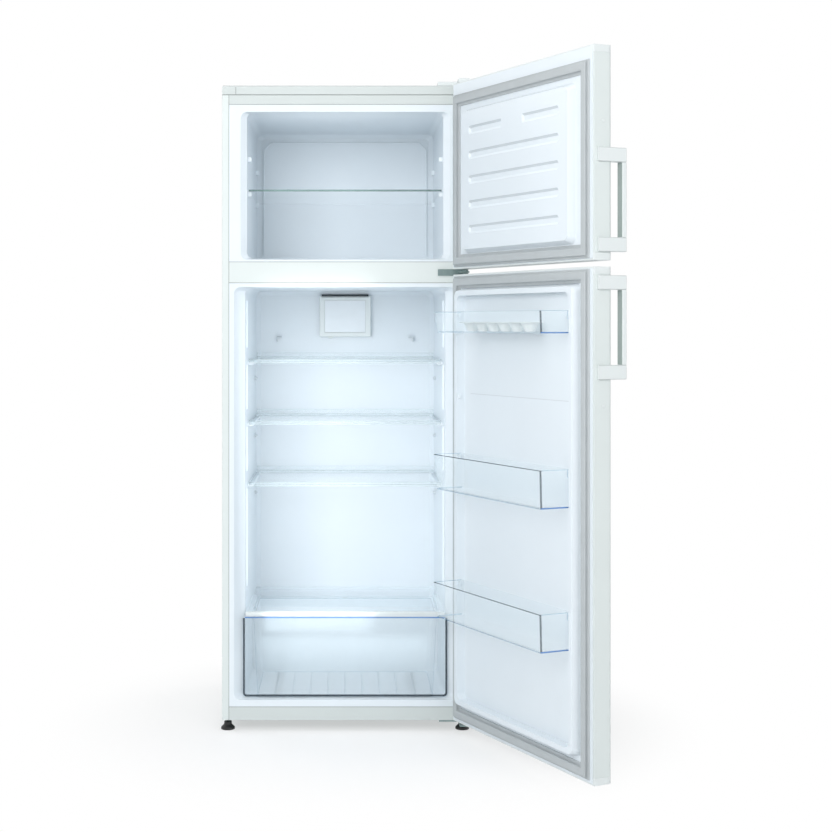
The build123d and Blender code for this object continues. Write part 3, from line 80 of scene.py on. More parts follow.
# The part of a face's normal along an axis
FACING, MOSTLY, HALFWAY, LEANING, BARELY = 0.9, 0.8, 0.5, 0.4, 0.3

# Fine lines stand out of the face they lie on, and points this close are on one level
PROUD = 0.0002
LEVEL = 0.0005

# Round fittings, and a screw head's height, crown and cross recess as shares of its radius
ROD_SIDES, SCREW_SIDES, DOME_SIDES, DOME_RINGS, FOOT_SIDES = 8, 20, 20, 12, 48
SCREW_HEIGHT, SCREW_CROWN, SCREW_RECESS = 0.55, 0.72, (1.05, 0.22, 0.6)

# A door gasket's section as shares of its width and depth: base strip, folded bellows and magnet's pocket
GASKET_SECTION = (
    (0.0, 0.0), (0.0, 0.22), (0.03, 0.32), (0.14, 0.36), (0.2, 0.46), (0.15, 0.58), (0.21, 0.68),
    (0.17, 0.82), (0.2, 0.94), (0.27, 1.0), (0.66, 1.0), (0.73, 0.94), (0.76, 0.82), (0.71, 0.68),
    (0.78, 0.58), (0.74, 0.46), (0.82, 0.36), (0.96, 0.32), (1.0, 0.22), (1.0, 0.0))
GASKET_CREASE = 50.0

# A front foot's half section as shares of its radius, with heights: domed base, drawn-in neck and collar
FOOT_SECTION = (
    (0.0, 0.0), (0.9, 0.0), (0.98, 0.0012), (1.0, 0.003), (0.98, 0.005), (0.9, 0.007), (0.78, 0.0088),
    (0.66, 0.0105), (0.58, 0.0125), (0.55, 0.015), (0.56, 0.0175), (0.53, 0.0192), (0.45, 0.02), (0.15, 0.02))
FOOT_CREASE = 40.0

# Lamps: place, target, size, level in the stage's settings and the share of it
LAMPS = {
    "key_lamp": ((-0.6, -2.8, 1.8), (0.3, 0.0, 1.0), (1.4, 1.4), "key_level", 1.0),
    "top_lamp": ((-0.2, -1.7, 3.3), (0.4, -0.2, 1.0), (1.2, 1.2), "top_level", 1.0),
    "side_lamp": ((2.0, -2.5, 1.7), (0.6, -0.4, 1.0), (1.2, 1.2), "side_level", 1.0),
    "rear_left_lamp": ((-2.2, 1.9, 1.8), (0.3, 0.3, 0.8), (1.6, 1.6), "rear_level", 1.0),
    "rear_right_lamp": ((2.6, 1.9, 1.8), (0.3, 0.3, 0.8), (1.6, 1.6), "rear_level", 1.0),
    "drawer_lamp": ((0.287, -0.03, 0.2), (0.287, 0.22, 0.06), (0.42, 0.06), "inside_level", 0.11),
    "fridge_lamp": ((0.22, -0.03, 0.66), (0.26, 1.0, 0.7), (0.26, 0.84), "inside_level", 1.0),
    "freezer_lamp": ((0.24, -0.03, 1.33), (0.27, 1.0, 1.33), (0.3, 0.25), "inside_level", 0.22),
}

# Stage: the light all round, the floor, and where its shadow fades into white
SKY, WHITE = (0.93, 0.97, 1.0, 1.0), (1.0, 1.0, 1.0, 1.0)
FLOOR_RADIUS, FLOOR_SIDES = 14.0, 96
FLOOR_ROUGHNESS, FLOOR_DRIFT, FLOOR_SHADE = 0.9, 3.0, 0.99
SHADOW_CENTRE, SHADOW_FADE, SHADOW_GLOW = (0.35, 0.1, 0.0), (0.3, 0.85), 0.5
SENSOR_WIDTH = 36.0

# Clear layers that a ray may pass: drawer, bins and shelves stand one behind another
CLEAR_LAYERS = 48


def length(label, about, default):
    """A length in metres that the sidebar shows in the scene's own unit."""
    return FloatProperty(name=label, description=about, default=default, min=0.0, unit="LENGTH", precision=4)


def count(label, about, default, least):
    """A number of copies."""
    return IntProperty(name=label, description=about, default=default, min=least)


def power(label, about, default):
    """A lamp's power in watts."""
    return FloatProperty(name=label, description=about, default=default, min=0.0, unit="POWER")


def colour(label, about, default):
    """A linear colour that the sidebar shows as a swatch."""
    return FloatVectorProperty(name=label, description=about, default=default, subtype="COLOR",
                               min=0.0, max=1.0)


class RefrigeratorSizes(bpy.types.PropertyGroup):
    """Edge rounds and the small fittings' sizes."""

    sheet_round: length("Sheet round", "Round on the edges of folded steel", 0.0004)
    tube_round: length("Tube round", "Round on the ends of the tubes", 0.0002)
    moulding_round: length("Moulding round", "Round on the edges of moulded plastic", 0.0009)
    liner_round: length("Liner round", "Round on the edges of the vacuum formed liners", 0.0009)
    trim_round: length("Trim round", "Round on the edges of the shelf trims", 0.0006)
    glass_round: length("Glass round", "Round on the ground edges of the glass", 0.0006)
    handle_round: length("Handle round", "Round on the handles' edges", 0.0016)
    wire_radius: length("Wire radius", "Radius of the condenser's cross wires", 0.0008)
    wire_count: count("Wire count", "Cross wires on the condenser", 38, 2)
    seam_width: length("Seam width", "Width of the fine joints on the cabinet's front", 0.0011)
    screw_radius: length("Screw radius", "Radius of the pan head screws", 0.0038)
    foot_ribs: count("Foot ribs", "Grip ribs round a front foot", 20, 3)
    gasket_width: length("Gasket width", "Width of the door gaskets across their base", 0.029)
    end_cap: length("End cap", "Length of the end caps on the top cover", 0.033)
    groove_slope: length("Groove slope", "How far the walls of the freezer door's grooves lean in", 0.005)


class RefrigeratorColours(bpy.types.PropertyGroup):
    """Colours of the finishes, which have the same names."""

    white_steel: colour("White steel", "Powder coat on the steel", (0.73, 0.785, 0.775))
    white_plastic: colour("White plastic", "White mouldings", (0.78, 0.825, 0.825))
    liner_plastic: colour("Liner plastic", "Vacuum formed liners", (0.8, 0.86, 0.905))
    gasket_rubber: colour("Gasket rubber", "Soft door gaskets", (0.50, 0.535, 0.55))
    shelf_glass: colour("Shelf glass", "Panes of the shelves", (0.72, 0.86, 0.92))
    glass_edge: colour("Glass edge", "Ground edges of the shelf glass", (0.3, 0.42, 0.43))
    glass_front: colour("Glass front", "Front edge of the freezer's shelf", (0.12, 0.2, 0.19))
    clear_plastic: colour("Clear plastic", "Drawer, door bins and shelf trims", (0.84, 0.95, 1.0))
    clear_edge: colour("Clear edge", "Edges of the drawer and bins", (0.2, 0.42, 0.6))
    trim_edge: colour("Trim edge", "Edges of the shelves' trims", (0.6, 0.7, 0.71))
    # Painted shade: near black, for the deep corners and rims of the drawer and bins, the drawer's front edges and
    # the lamp's vent slot
    clear_corner: colour("Clear corner", "Deep corners of the drawer and bins", (0.03, 0.05, 0.075))
    clear_front: colour("Clear front", "The drawer's front, through its thickness", (0.5, 0.6, 0.66))
    clear_frost: colour("Clear frost", "The drawer's ribbed bottom", (0.93, 0.97, 1.0))
    blue_line: colour("Blue line", "Light piped along the drawer's and bins' edges", (0.1, 0.28, 0.68))
    handle_shade: colour("Handle shade", "Inner face of the handles' bars", (0.33, 0.385, 0.37))
    lamp_lens: colour("Lamp lens", "Lens of the lamp", (0.84, 0.885, 0.92))
    zinc_steel: colour("Zinc steel", "Plated steel", (0.27, 0.355, 0.355))
    aluminium: colour("Aluminium", "Evaporator plates", (0.78, 0.79, 0.8))
    copper: colour("Copper", "Refrigerant pipes", (0.72, 0.34, 0.19))
    black: colour("Black", "Feet, rollers, compressor and condenser", (0.012, 0.012, 0.013))
    rubber: colour("Rubber", "Grommets under the compressor", (0.02, 0.02, 0.021))
    foam: colour("Foam", "Insulation", (0.83, 0.72, 0.45))


class RefrigeratorStage(bpy.types.PropertyGroup):
    """Camera and light."""

    camera_place: FloatVectorProperty(name="Camera", description="Where the camera stands", subtype="XYZ",
                                      unit="LENGTH", default=(0.287, -3.833, 0.9894))
    camera_lens: FloatProperty(name="Lens", description="Focal length on a 36 mm sensor", default=67.66,
                               min=1.0)
    camera_shift: FloatVectorProperty(name="Shift", description="Sensor shift that frames the photograph",
                                      size=2, default=(0.0852, -0.1093))
    world_level: FloatProperty(name="World", description="Level of the soft light all round", default=0.36,
                               min=0.0)
    key_level: power("Key", "Power of the large front lamp", 45.0)
    top_level: power("Top", "Power of the overhead lamp", 15.0)
    side_level: power("Side", "Power of the lamp on the doors' edges", 13.0)
    rear_level: power("Rear", "Power of each of the two lamps behind", 26.0)
    inside_level: power("Inside", "Power of the soft light into the compartments", 0.9)
    floor: colour("Floor", "Colour of the pale floor", (0.97, 0.975, 0.98))


def sizes():
    """The sizes that the sidebar shows."""
    return bpy.context.scene.refrigerator_sizes


def colours():
    """The colours that the sidebar shows."""
    return bpy.context.scene.refrigerator_colours


def feed(node, inputs):
    """Sets a node's inputs, by name or place, to values, sockets or the first outputs of other nodes."""
    for key, value in inputs.items():
        if isinstance(value, bpy.types.Node):
            value = value.outputs[0]
        if isinstance(value, bpy.types.NodeSocket):
            node.id_data.links.new(value, node.inputs[key])
        else:
            node.inputs[key].default_value = value
    return node


def add_node(tree, kind, inputs=None, **settings):
    """A new node of a tree with its settings and inputs."""
    node = tree.nodes.new(kind)
    for key, value in settings.items():
        setattr(node, key, value)
    return feed(node, inputs or {})


def blank_material(name):
    """A material with its node tree, shader and object coordinates."""
    material = bpy.data.materials.new(name)
    material.use_nodes = True
    tree = material.node_tree
    tree.nodes.clear()
    shader = add_node(tree, "ShaderNodeBsdfPrincipled")
    add_node(tree, "ShaderNodeOutputMaterial", {"Surface": shader})
    return material, tree, shader, add_node(tree, "ShaderNodeTexCoord").outputs["Object"]


def noise(tree, place, scale, detail=3.0, stretch=(1.0, 1.0, 1.0)):
    """Noise over the piece, drawn out along an axis where stretch is below 1."""
    mapping = add_node(tree, "ShaderNodeMapping", {"Vector": place, "Scale": stretch})
    return add_node(tree, "ShaderNodeTexNoise", {"Vector": mapping, "Scale": scale, "Detail": detail})


def shaded(tint, factor):
    """A tint made darker or lighter."""
    return [min(1.0, c * factor) for c in tint]


def ramp(tree, value, low, high):
    """Maps a value to a colour between low and high."""
    node = add_node(tree, "ShaderNodeValToRGB", {"Fac": value})
    for element, position, tint in zip(node.color_ramp.elements, (RAMP_START, RAMP_END), (low, high)):
        element.position = position
        element.color = (*tint, 1.0)
    return node


def finish(name, rough, scale, shade, depth=0.0, tint=None, stretch=(1.0, 1.0, 1.0), **sockets):
    """A finish whose colour and gloss drift a little over the piece, with a fine grain where depth is set."""
    tint = tint or getattr(colours(), name)
    material, tree, shader, place = blank_material(name)
    drift = noise(tree, place, scale, stretch=stretch)
    feed(shader, {
        "Base Color": ramp(tree, drift, shaded(tint, shade), tint),
        "Roughness": add_node(tree, "ShaderNodeMapRange", {
            "Value": drift, "To Min": rough * (1.0 - GLOSS_DRIFT), "To Max": rough * (1.0 + GLOSS_DRIFT)}),
        **{socket.replace("_", " "): value for socket, value in sockets.items()},
    })
    if depth:
        grain = noise(tree, place, scale * GRAIN_FINENESS, GRAIN_DETAIL)
        bump = {"Height": grain, "Distance": depth, "Strength": GRAIN_STRENGTH}
        feed(shader, {"Normal": add_node(tree, "ShaderNodeBump", bump)})
    FINISHES[name] = material


def make_finishes():
    """Every finish of the object, by the names of the record's material slots and of its own.

    Each line gives the roughness, the scale of the drift, its darker shade and the grain's depth.
    """
    tint = colours()
    finish("white_steel", 0.32, 9.0, 0.985, 0.00002, Coat_Weight=0.25, Coat_Roughness=0.2)
    finish("white_plastic", 0.36, 11.0, 0.985, 0.00001)
    finish("liner_plastic", 0.30, 7.0, 0.985, 0.00001)
    finish("gasket_rubber", 0.55, 30.0, 0.95)
    finish("zinc_steel", 0.34, 60.0, 0.9, 0.00001, Metallic=1.0)
    finish("aluminium", 0.35, 80.0, 0.93, stretch=(0.05, 1.0, 1.0), Metallic=1.0)
    finish("copper", 0.3, 40.0, 0.85, Metallic=1.0)
    finish("black_plastic", 0.42, 40.0, 0.8, 0.00002, tint.black)
    finish("black_steel", 0.38, 25.0, 0.8, 0.00003, tint.black, Coat_Weight=0.2)
    finish("rubber", 0.7, 60.0, 0.8, 0.00003)
    finish("foam", 0.9, 120.0, 0.85, 0.0004)
    finish("shelf_glass", 0.04, 6.0, 0.97, Alpha=0.07, IOR=GLASS_IOR)
    finish("glass_edge", 0.1, 6.0, 0.9, Alpha=0.7, IOR=GLASS_IOR)
    finish("glass_front", 0.1, 12.0, 0.8, Alpha=0.85, IOR=GLASS_IOR)
    finish("clear_plastic", 0.05, 6.0, 0.97, Alpha=0.085, IOR=CLEAR_IOR)
    finish("clear_edge", 0.12, 6.0, 0.9, Alpha=0.5, IOR=CLEAR_IOR)
    finish("trim_edge", 0.12, 6.0, 0.94, Alpha=0.45, IOR=CLEAR_IOR)
    # Painted shade, near black, for the clear pieces' deep corners and rims and for the lamp's vent slot
    finish("clear_corner", 0.15, 6.0, 0.8, Alpha=0.72, IOR=CLEAR_IOR)
    finish("clear_front", 0.06, 6.0, 0.96, Alpha=0.19, IOR=CLEAR_IOR)
    finish("clear_frost", 0.3, 20.0, 0.96, Alpha=0.62, IOR=CLEAR_IOR)
    finish("blue_line", 0.15, 6.0, 0.9, Alpha=0.8, IOR=CLEAR_IOR)
    finish("seam_shade", 0.6, 20.0, 0.9, tint=shaded(tint.white_steel, 0.42))
    finish("liner_shade", 0.3, 7.0, 0.96, tint=shaded(tint.liner_plastic, 0.8))
    finish("liner_light", 0.3, 7.0, 0.985, tint=shaded(tint.liner_plastic, 1.1))
    # Painted shade: a darker copy of the white steel for the top cover, top rail and plinth
    finish("rail_paint", 0.32, 9.0, 0.985, 0.00002, shaded(tint.white_steel, 0.87), Coat_Weight=0.25)
    # Painted shade: a darker copy of the white plastic on the rounded edges of the handles' end blocks and the
    # lamp's lens
    finish("bracket_edge", 0.36, 11.0, 0.97, tint=shaded(tint.white_plastic, 0.8))
    finish("handle_shade", 0.36, 11.0, 0.96)
    finish("lamp_lens", 0.4, 30.0, 0.97)


def placed(name, data):
    """An object with this data, linked to the scene."""
    holder = bpy.data.objects.new(name, data)
    bpy.context.scene.collection.objects.link(holder)
    return holder


def evaluated(holder):
    """The plain mesh that an object's modifiers leave, without the object."""
    mesh = bpy.data.meshes.new_from_object(holder.evaluated_get(bpy.context.evaluated_depsgraph_get()))
    bpy.data.objects.remove(holder)
    return mesh


def plain_mesh(work, name):
    """The mesh of a bmesh, which is freed."""
    mesh = bpy.data.meshes.new(name)
    work.to_mesh(mesh)
    work.free()
    return mesh


def welded(node):
    """A copy of a solid's mesh with its loose triangles joined and its flat faces whole."""
    mesh = frame["nodes"][node].data.copy()
    work = bmesh.new()
    work.from_mesh(mesh)
    bmesh.ops.remove_doubles(work, verts=work.verts, dist=WELD_DISTANCE)
    bmesh.ops.dissolve_limit(work, angle_limit=FLAT_ANGLE, verts=work.verts, edges=work.edges)
    work.to_mesh(mesh)
    work.free()
    return mesh


def rounded(mesh, width, steps=2):
    """The mesh with its sharp edges rounded, in its last material, and shaded smooth between them."""
    mesh.shade_smooth()
    holder = placed("holder", mesh)
    bevel = holder.modifiers.new("bevel", "BEVEL")
    bevel.material = len(mesh.materials) - 1
    bevel.width, bevel.segments = width, steps
    bevel.limit_method, bevel.angle_limit = "ANGLE", SHARP_ANGLE
    bevel.use_clamp_overlap = False
    bevel.miter_outer = "MITER_ARC"
    normals = holder.modifiers.new("normals", "WEIGHTED_NORMAL")
    normals.mode, normals.weight = "FACE_AREA", LARGE_FACE_WEIGHT
    return evaluated(holder)


def creased(mesh, degrees):
    """The mesh shaded smooth but for its creases."""
    mesh.shade_smooth()
    mesh.set_sharp_from_angle(angle=math.radians(degrees))
    return mesh


def coat(mesh, *finish_names):
    """Gives a mesh these finishes in place of what it had."""
    mesh.materials.clear()
    for name in finish_names:
        mesh.materials.append(FINISHES[name])
    return mesh


def refinish(mesh, finish_name, chosen, turn=Matrix()):
    """Gives another finish to the faces that are chosen by their normals and centres, once turned."""
    material, spin = FINISHES[finish_name], turn.to_3x3()
    if mesh.materials.find(material.name) < 0:
        mesh.materials.append(material)
    index = mesh.materials.find(material.name)
    for face in mesh.polygons:
        if chosen(spin @ face.normal, turn @ face.center):
            face.material_index = index


def add_piece(name, mesh, body, replaced=()):
    """Puts a finished mesh in the scene on the body that carries it."""
    mesh.name = name
    piece = placed(name, mesh)
    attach(piece, body)
    if replaced:
        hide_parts(*replaced)
    return piece


def dress(node, width, steps=2, edge=None):
    """Replaces a solid by its copy with rounded edges, which may have a finish of their own."""
    slot = SLOT_OF[node]
    mesh = rounded(coat(welded(node), slot, *([edge] if edge else [])), width, steps)
    return add_piece(f"{node}_dressed", mesh, BODY_OF[node], (node,))


def paint(node):
    """Gives a solid that stays as it is its finish."""
    coat(frame["nodes"][node].data, SLOT_OF[node])


class Tree:
    """A geometry node tree that is built line by line."""

    def __init__(self, name, **inputs):
        self.group = bpy.data.node_groups.new(name, "GeometryNodeTree")
        face = self.group.interface
        face.new_socket("Geometry", in_out="INPUT", socket_type="NodeSocketGeometry")
        for label, default in inputs.items():
            kind = {int: "NodeSocketInt", float: "NodeSocketFloat"}.get(type(default), "NodeSocketVector")
            face.new_socket(label, in_out="INPUT", socket_type=kind).default_value = default
        face.new_socket("Geometry", in_out="OUTPUT", socket_type="NodeSocketGeometry")
        self.given = self.group.nodes.new("NodeGroupInput").outputs
        self.result = self.group.nodes.new("NodeGroupOutput")

    def add(self, kind, inputs=None, **settings):
        """A new node of the tree with its settings and inputs."""
        return add_node(self.group, kind, inputs, **settings)

    def times(self, value, factor):
        """A value times a plain factor."""
        return self.add("ShaderNodeMath", {0: value, 1: factor}, operation="MULTIPLY")

    def scatter(self, points, shape, material, smooth=True, **inputs):
        """Ends the tree with copies of a shape on points, realized and with their material set."""
        if smooth:
            shape = self.add("GeometryNodeSetShadeSmooth", {"Geometry": shape})
        copies = self.add("GeometryNodeInstanceOnPoints", {"Points": points, "Instance": shape, **inputs})
        real = self.add("GeometryNodeRealizeInstances", {"Geometry": copies})
        feed(self.result, {"Geometry": self.add("GeometryNodeSetMaterial", {
            "Geometry": real, "Material": material})})
        return self.group

    def rods(self, points, material):
        """Ends the tree with upright round rods of the given Radius and Length on points."""
        rod = self.add("GeometryNodeMeshCylinder", {
            "Vertices": ROD_SIDES, "Radius": self.given["Radius"], "Depth": self.given["Length"]})
        return self.scatter(points, rod, material)


def add_grown(grow, name, body, finish_name, points=(), **values):
    """Adds what a tree grows on a mesh of points, with the tree's inputs set, as a piece of its own."""
    group, base = grow(name, FINISHES[finish_name]), bpy.data.meshes.new(name)
    base.from_pydata([tuple(p) for p in points], [], [])
    holder = placed(name, base)
    modifier = holder.modifiers.new(name, "NODES")
    modifier.node_group = group
    for item in group.interface.items_tree:
        if item.in_out == "INPUT" and item.name in values:
            modifier[item.identifier] = values[item.name]
    mesh = evaluated(holder)
    bpy.data.node_groups.remove(group)
    add_piece(name, mesh, body)


def line_of_rods(name, material):
    """Tree: a row of round rods along Step, each of Length along Z."""
    tree = Tree(name, Count=12, Start=(0.0, 0.0, 0.0), Step=(0.01, 0.0, 0.0), Radius=0.001, Length=0.1)
    row = {"Count": tree.given["Count"], "Start Location": tree.given["Start"], "Offset": tree.given["Step"]}
    return tree.rods(tree.add("GeometryNodeMeshLine", row), material)


def ring_of_rods(name, material):
    """Tree: round ribs of Length along Z on a circle round Centre."""
    tree = Tree(name, Count=12, Centre=(0.0, 0.0, 0.0), Ring=0.01, Radius=0.001, Length=0.01)
    ring = tree.add("GeometryNodeMeshCircle", {"Vertices": tree.given["Count"], "Radius": tree.given["Ring"]})
    moved = tree.add("GeometryNodeTransform", {"Geometry": ring, "Translation": tree.given["Centre"]})
    return tree.rods(moved, material)


def domes(name, material):
    """Tree: smooth domes of Size on the given points."""
    tree = Tree(name, Size=(0.005, 0.005, 0.005))
    ball = tree.add("GeometryNodeMeshUVSphere", {"Segments": DOME_SIDES, "Rings": DOME_RINGS, "Radius": 1.0})
    return tree.scatter(tree.given["Geometry"], ball, material, Scale=tree.given["Size"])


def screw_heads(name, material):
    """Tree: pan head screws on the given points, facing along Facing, with a cross recess."""
    tree = Tree(name, Facing=(0.0, 1.0, 0.0), Radius=0.004)
    radius = tree.given["Radius"]
    height, crown = tree.times(radius, SCREW_HEIGHT), tree.times(radius, SCREW_CROWN)
    head = tree.add("GeometryNodeMeshCone", {
        "Vertices": SCREW_SIDES, "Radius Top": crown, "Radius Bottom": radius, "Depth": height})
    cross = tree.add("GeometryNodeMeshBoolean", {"Mesh 1": head}, operation="DIFFERENCE", solver="EXACT")
    top = tree.add("ShaderNodeCombineXYZ", {"Z": height})
    for turn in (0.0, math.pi / 2):
        size = tree.add("ShaderNodeVectorMath", operation="SCALE")
        bar = tree.add("GeometryNodeMeshCube", {"Size": feed(size, {0: SCREW_RECESS, "Scale": radius})})
        feed(cross, {"Mesh 2": tree.add("GeometryNodeTransform", {
            "Geometry": bar, "Translation": top, "Rotation": (0.0, 0.0, turn)})})
    turned = tree.add("FunctionNodeAlignRotationToVector", {"Vector": tree.given["Facing"]}, axis="Z")
    return tree.scatter(tree.given["Geometry"], cross, material, False, Rotation=turned)


def closed_frame(body):
    """The turn that shuts a door from its rest, about its own hinge."""
    joint = next(j for j in frame["joints"] if j["child"] == body)
    place = Matrix.Translation(Vector(joint["pos_m"]))
    return place @ Matrix.Rotation(math.radians(joint["range_deg"][0]), 4, "Z") @ place.inverted()


def turned_points(mesh, turn):
    """A mesh's points, once turned."""
    return [turn @ v.co for v in mesh.vertices]


def span(points):
    """The lowest and the highest corner of the box round some points."""
    return (Vector(min(p[i] for p in points) for i in range(3)),
            Vector(max(p[i] for p in points) for i in range(3)))


def skin(work, rings):
    """Makes the faces between each ring of four points and the next."""
    for first, second in zip(rings, rings[1:]):
        for k in range(4):
            work.faces.new((first[k], first[(k + 1) % 4], second[(k + 1) % 4], second[k]))


def gasket(node, width):
    """A magnetic door gasket, mitred round the door."""
    shut = closed_frame(BODY_OF[node])
    low, high = span(turned_points(frame["nodes"][node].data, shut))
    work = bmesh.new()
    loops = []
    for across, out in GASKET_SECTION:
        inset, y = across * width, low.y + out * (high.y - low.y)
        x0, x1, z0, z1 = low.x + inset, high.x - inset, low.z + inset, high.z - inset
        loops.append([work.verts.new(shut.inverted() @ Vector(p))
                      for p in ((x0, y, z0), (x1, y, z0), (x1, y, z1), (x0, y, z1))])
    skin(work, loops + loops[:1])
    bmesh.ops.recalc_face_normals(work, faces=work.faces)
    return creased(plain_mesh(work, node), GASKET_CREASE)


def strip(path, centre, width, front, depth):
    """A flat bar along a path of (x, z) points in an upright plane, set in towards a centre by its width."""
    work = bmesh.new()
    rings = []
    for k, (x, z) in enumerate(path):
        before, after = path[max(k - 1, 0)], path[min(k + 1, len(path) - 1)]
        side = Vector((before[1] - after[1], after[0] - before[0])).normalized()
        if side.dot(Vector((centre[0] - x, centre[1] - z))) < 0:
            side = -side
        inner = (x + side.x * width, z + side.y * width)
        corners = ((x, front, z), (inner[0], front, inner[1]),
                   (inner[0], front + depth, inner[1]), (x, front + depth, z))
        rings.append([work.verts.new(p) for p in corners])
    skin(work, rings)
    for end in (rings[0], rings[-1]):
        work.faces.new(end)
    bmesh.ops.recalc_face_normals(work, faces=work.faces)
    return plain_mesh(work, "strip")


def add_strip(name, path, centre, width, front, depth, body, finish_name):
    """Adds a flat bar as a piece of its own."""
    add_piece(name, coat(strip(path, centre, width, front, depth), finish_name), body)


def add_door_bar(name, low, high, body, finish_name):
    """Adds a slim bar with rounded edges between two corners, given with the fridge door shut."""
    work = bmesh.new()
    bmesh.ops.create_cube(work, size=1.0)
    size, middle, back = high - low, (low + high) / 2, closed_frame("fridge_door").inverted()
    for v in work.verts:
        v.co = back @ (middle + v.co * size)
    mesh = coat(plain_mesh(work, name), finish_name)
    add_piece(name, rounded(mesh, min(size) / 4), body)


class DressCabinet(bpy.types.Operator):
    """Rounds the folded steel shell, its rails and the base, and adds the fine seams on the front."""

    bl_idname = "refrigerator.cabinet"
    bl_label = "Cabinet shell"

    def execute(self, context):
        steel = {node: dress(node, sizes().sheet_round) for node in (
            "side_panel_left", "side_panel_right", "rear_panel", "top_rail_and_plinth", "middle_rail",
            "base_pan", "compressor_plate")}
        # Painted shade: the top cover, top rail and plinth take a darker copy of the white steel, as less light
        # falls on them than on the middle rail
        for painted in (frame["nodes"]["top_cover"], steel["top_rail_and_plinth"]):
            coat(painted.data, "rail_paint")
        paint("insulation_foam")
        self.seams()
        return {"FINISHED"}

    def seams(self):
        """The joints between flanges, rails and liners' frames, and those of the lid's end caps."""
        width, depth, lower_gap, upper_gap = sizes().seam_width, 0.0006, 0.002, 0.004
        panel, (low, high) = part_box("side_panel_left")[0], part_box("middle_rail")
        lid_low, lid_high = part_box("top_cover")
        inside = (high.x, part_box("top_rail_and_plinth")[1].z)
        levels = (low.z, high.z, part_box("fridge_liner")[0].z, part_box("freezer_liner")[1].z)
        lines = [[(x, panel.z), (x, lid_low.z)] for x in (low.x, high.x)]
        lines += [[(low.x, z), (high.x, z)] for z in levels]
        lines += [[(panel.x, lid_low.z), (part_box("side_panel_right")[1].x, lid_low.z)]]
        seams = [(f"front_seam_{k}", line, inside, low.y) for k, line in enumerate(lines)]
        for side, x in (("left", lid_low.x + sizes().end_cap), ("right", lid_high.x - sizes().end_cap)):
            line = [(x, lid_low.z + lower_gap), (x, lid_high.z - upper_gap)]
            seams.append((f"lid_cap_seam_{side}", line, (high.x, lid_low.z), lid_low.y))
        for name, line, centre, face in seams:
            add_strip(name, line, centre, width, face - PROUD, depth, "cabinet", "seam_shade")


class DressLiners(bpy.types.Operator):
    """Softens the two moulded liners, adds their small relief and finishes the evaporator plates behind."""

    bl_idname = "refrigerator.liners"
    bl_label = "Liners"

    def execute(self, context):
        liners = {node: dress(node, sizes().liner_round) for node in ("freezer_liner", "fridge_liner")}
        self.relief_bead()
        self.wall_details(liners["fridge_liner"].data)
        paint("evaporator_plates")
        return {"FINISHED"}

    def wall_details(self, liner):
        """Painted shade on the fridge liner's hooks and painted light on its upright ribs, and round studs in
        painted shade under the shelves.
        """
        hook_across, hook_height, hook_half, hook_rise = 0.18, 0.96, 0.016, 0.02
        hook_front, hook_back = 0.3, 0.4395
        rib_front, rib_back, rib_inner, rib_outer = 0.0632, 0.0748, 0.236, 0.2475
        stud_across, stud_setback, stud_heights = 0.244, 0.362, (0.847, 0.694, 0.541)
        stud_size = (0.0095, 0.0075, 0.0055)
        low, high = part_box("fridge_liner")
        middle = (low.x + high.x) / 2
        refinish(liner, "liner_shade", lambda n, c: abs(abs(c.x - middle) - hook_across) < hook_half
                 and hook_front < c.y < hook_back and abs(c.z - hook_height) < hook_rise)
        refinish(liner, "liner_light", lambda n, c: rib_front < c.y < rib_back
                 and rib_inner < abs(c.x - middle) < rib_outer)
        points = [(middle + side * stud_across, stud_setback, z) for side in (-1, 1) for z in stud_heights]
        add_grown(domes, "fridge_wall_studs", "cabinet", "liner_shade", points, Size=stud_size)

    def relief_bead(self):
        """The soft bead along the edge of the freezer's rear panel, whose upper corners are cut off."""
        half, cut, rise, drop = 0.2235, 0.02, 0.036, 0.039
        width, depth, reach, edge_round, steps = 0.0045, 0.004, 0.0075, 0.0015, 3
        low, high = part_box("freezer_liner")
        middle, bottom, top = (low.x + high.x) / 2, low.z + rise, high.z - drop
        path = [(middle - half, bottom), (middle - half, top - cut), (middle - half + cut, top),
                (middle + half - cut, top), (middle + half, top - cut), (middle + half, bottom)]
        mesh = coat(strip(path, (middle, bottom), width, high.y - reach, depth), "liner_plastic")
        add_piece("freezer_relief_bead", rounded(mesh, edge_round, steps), "cabinet")


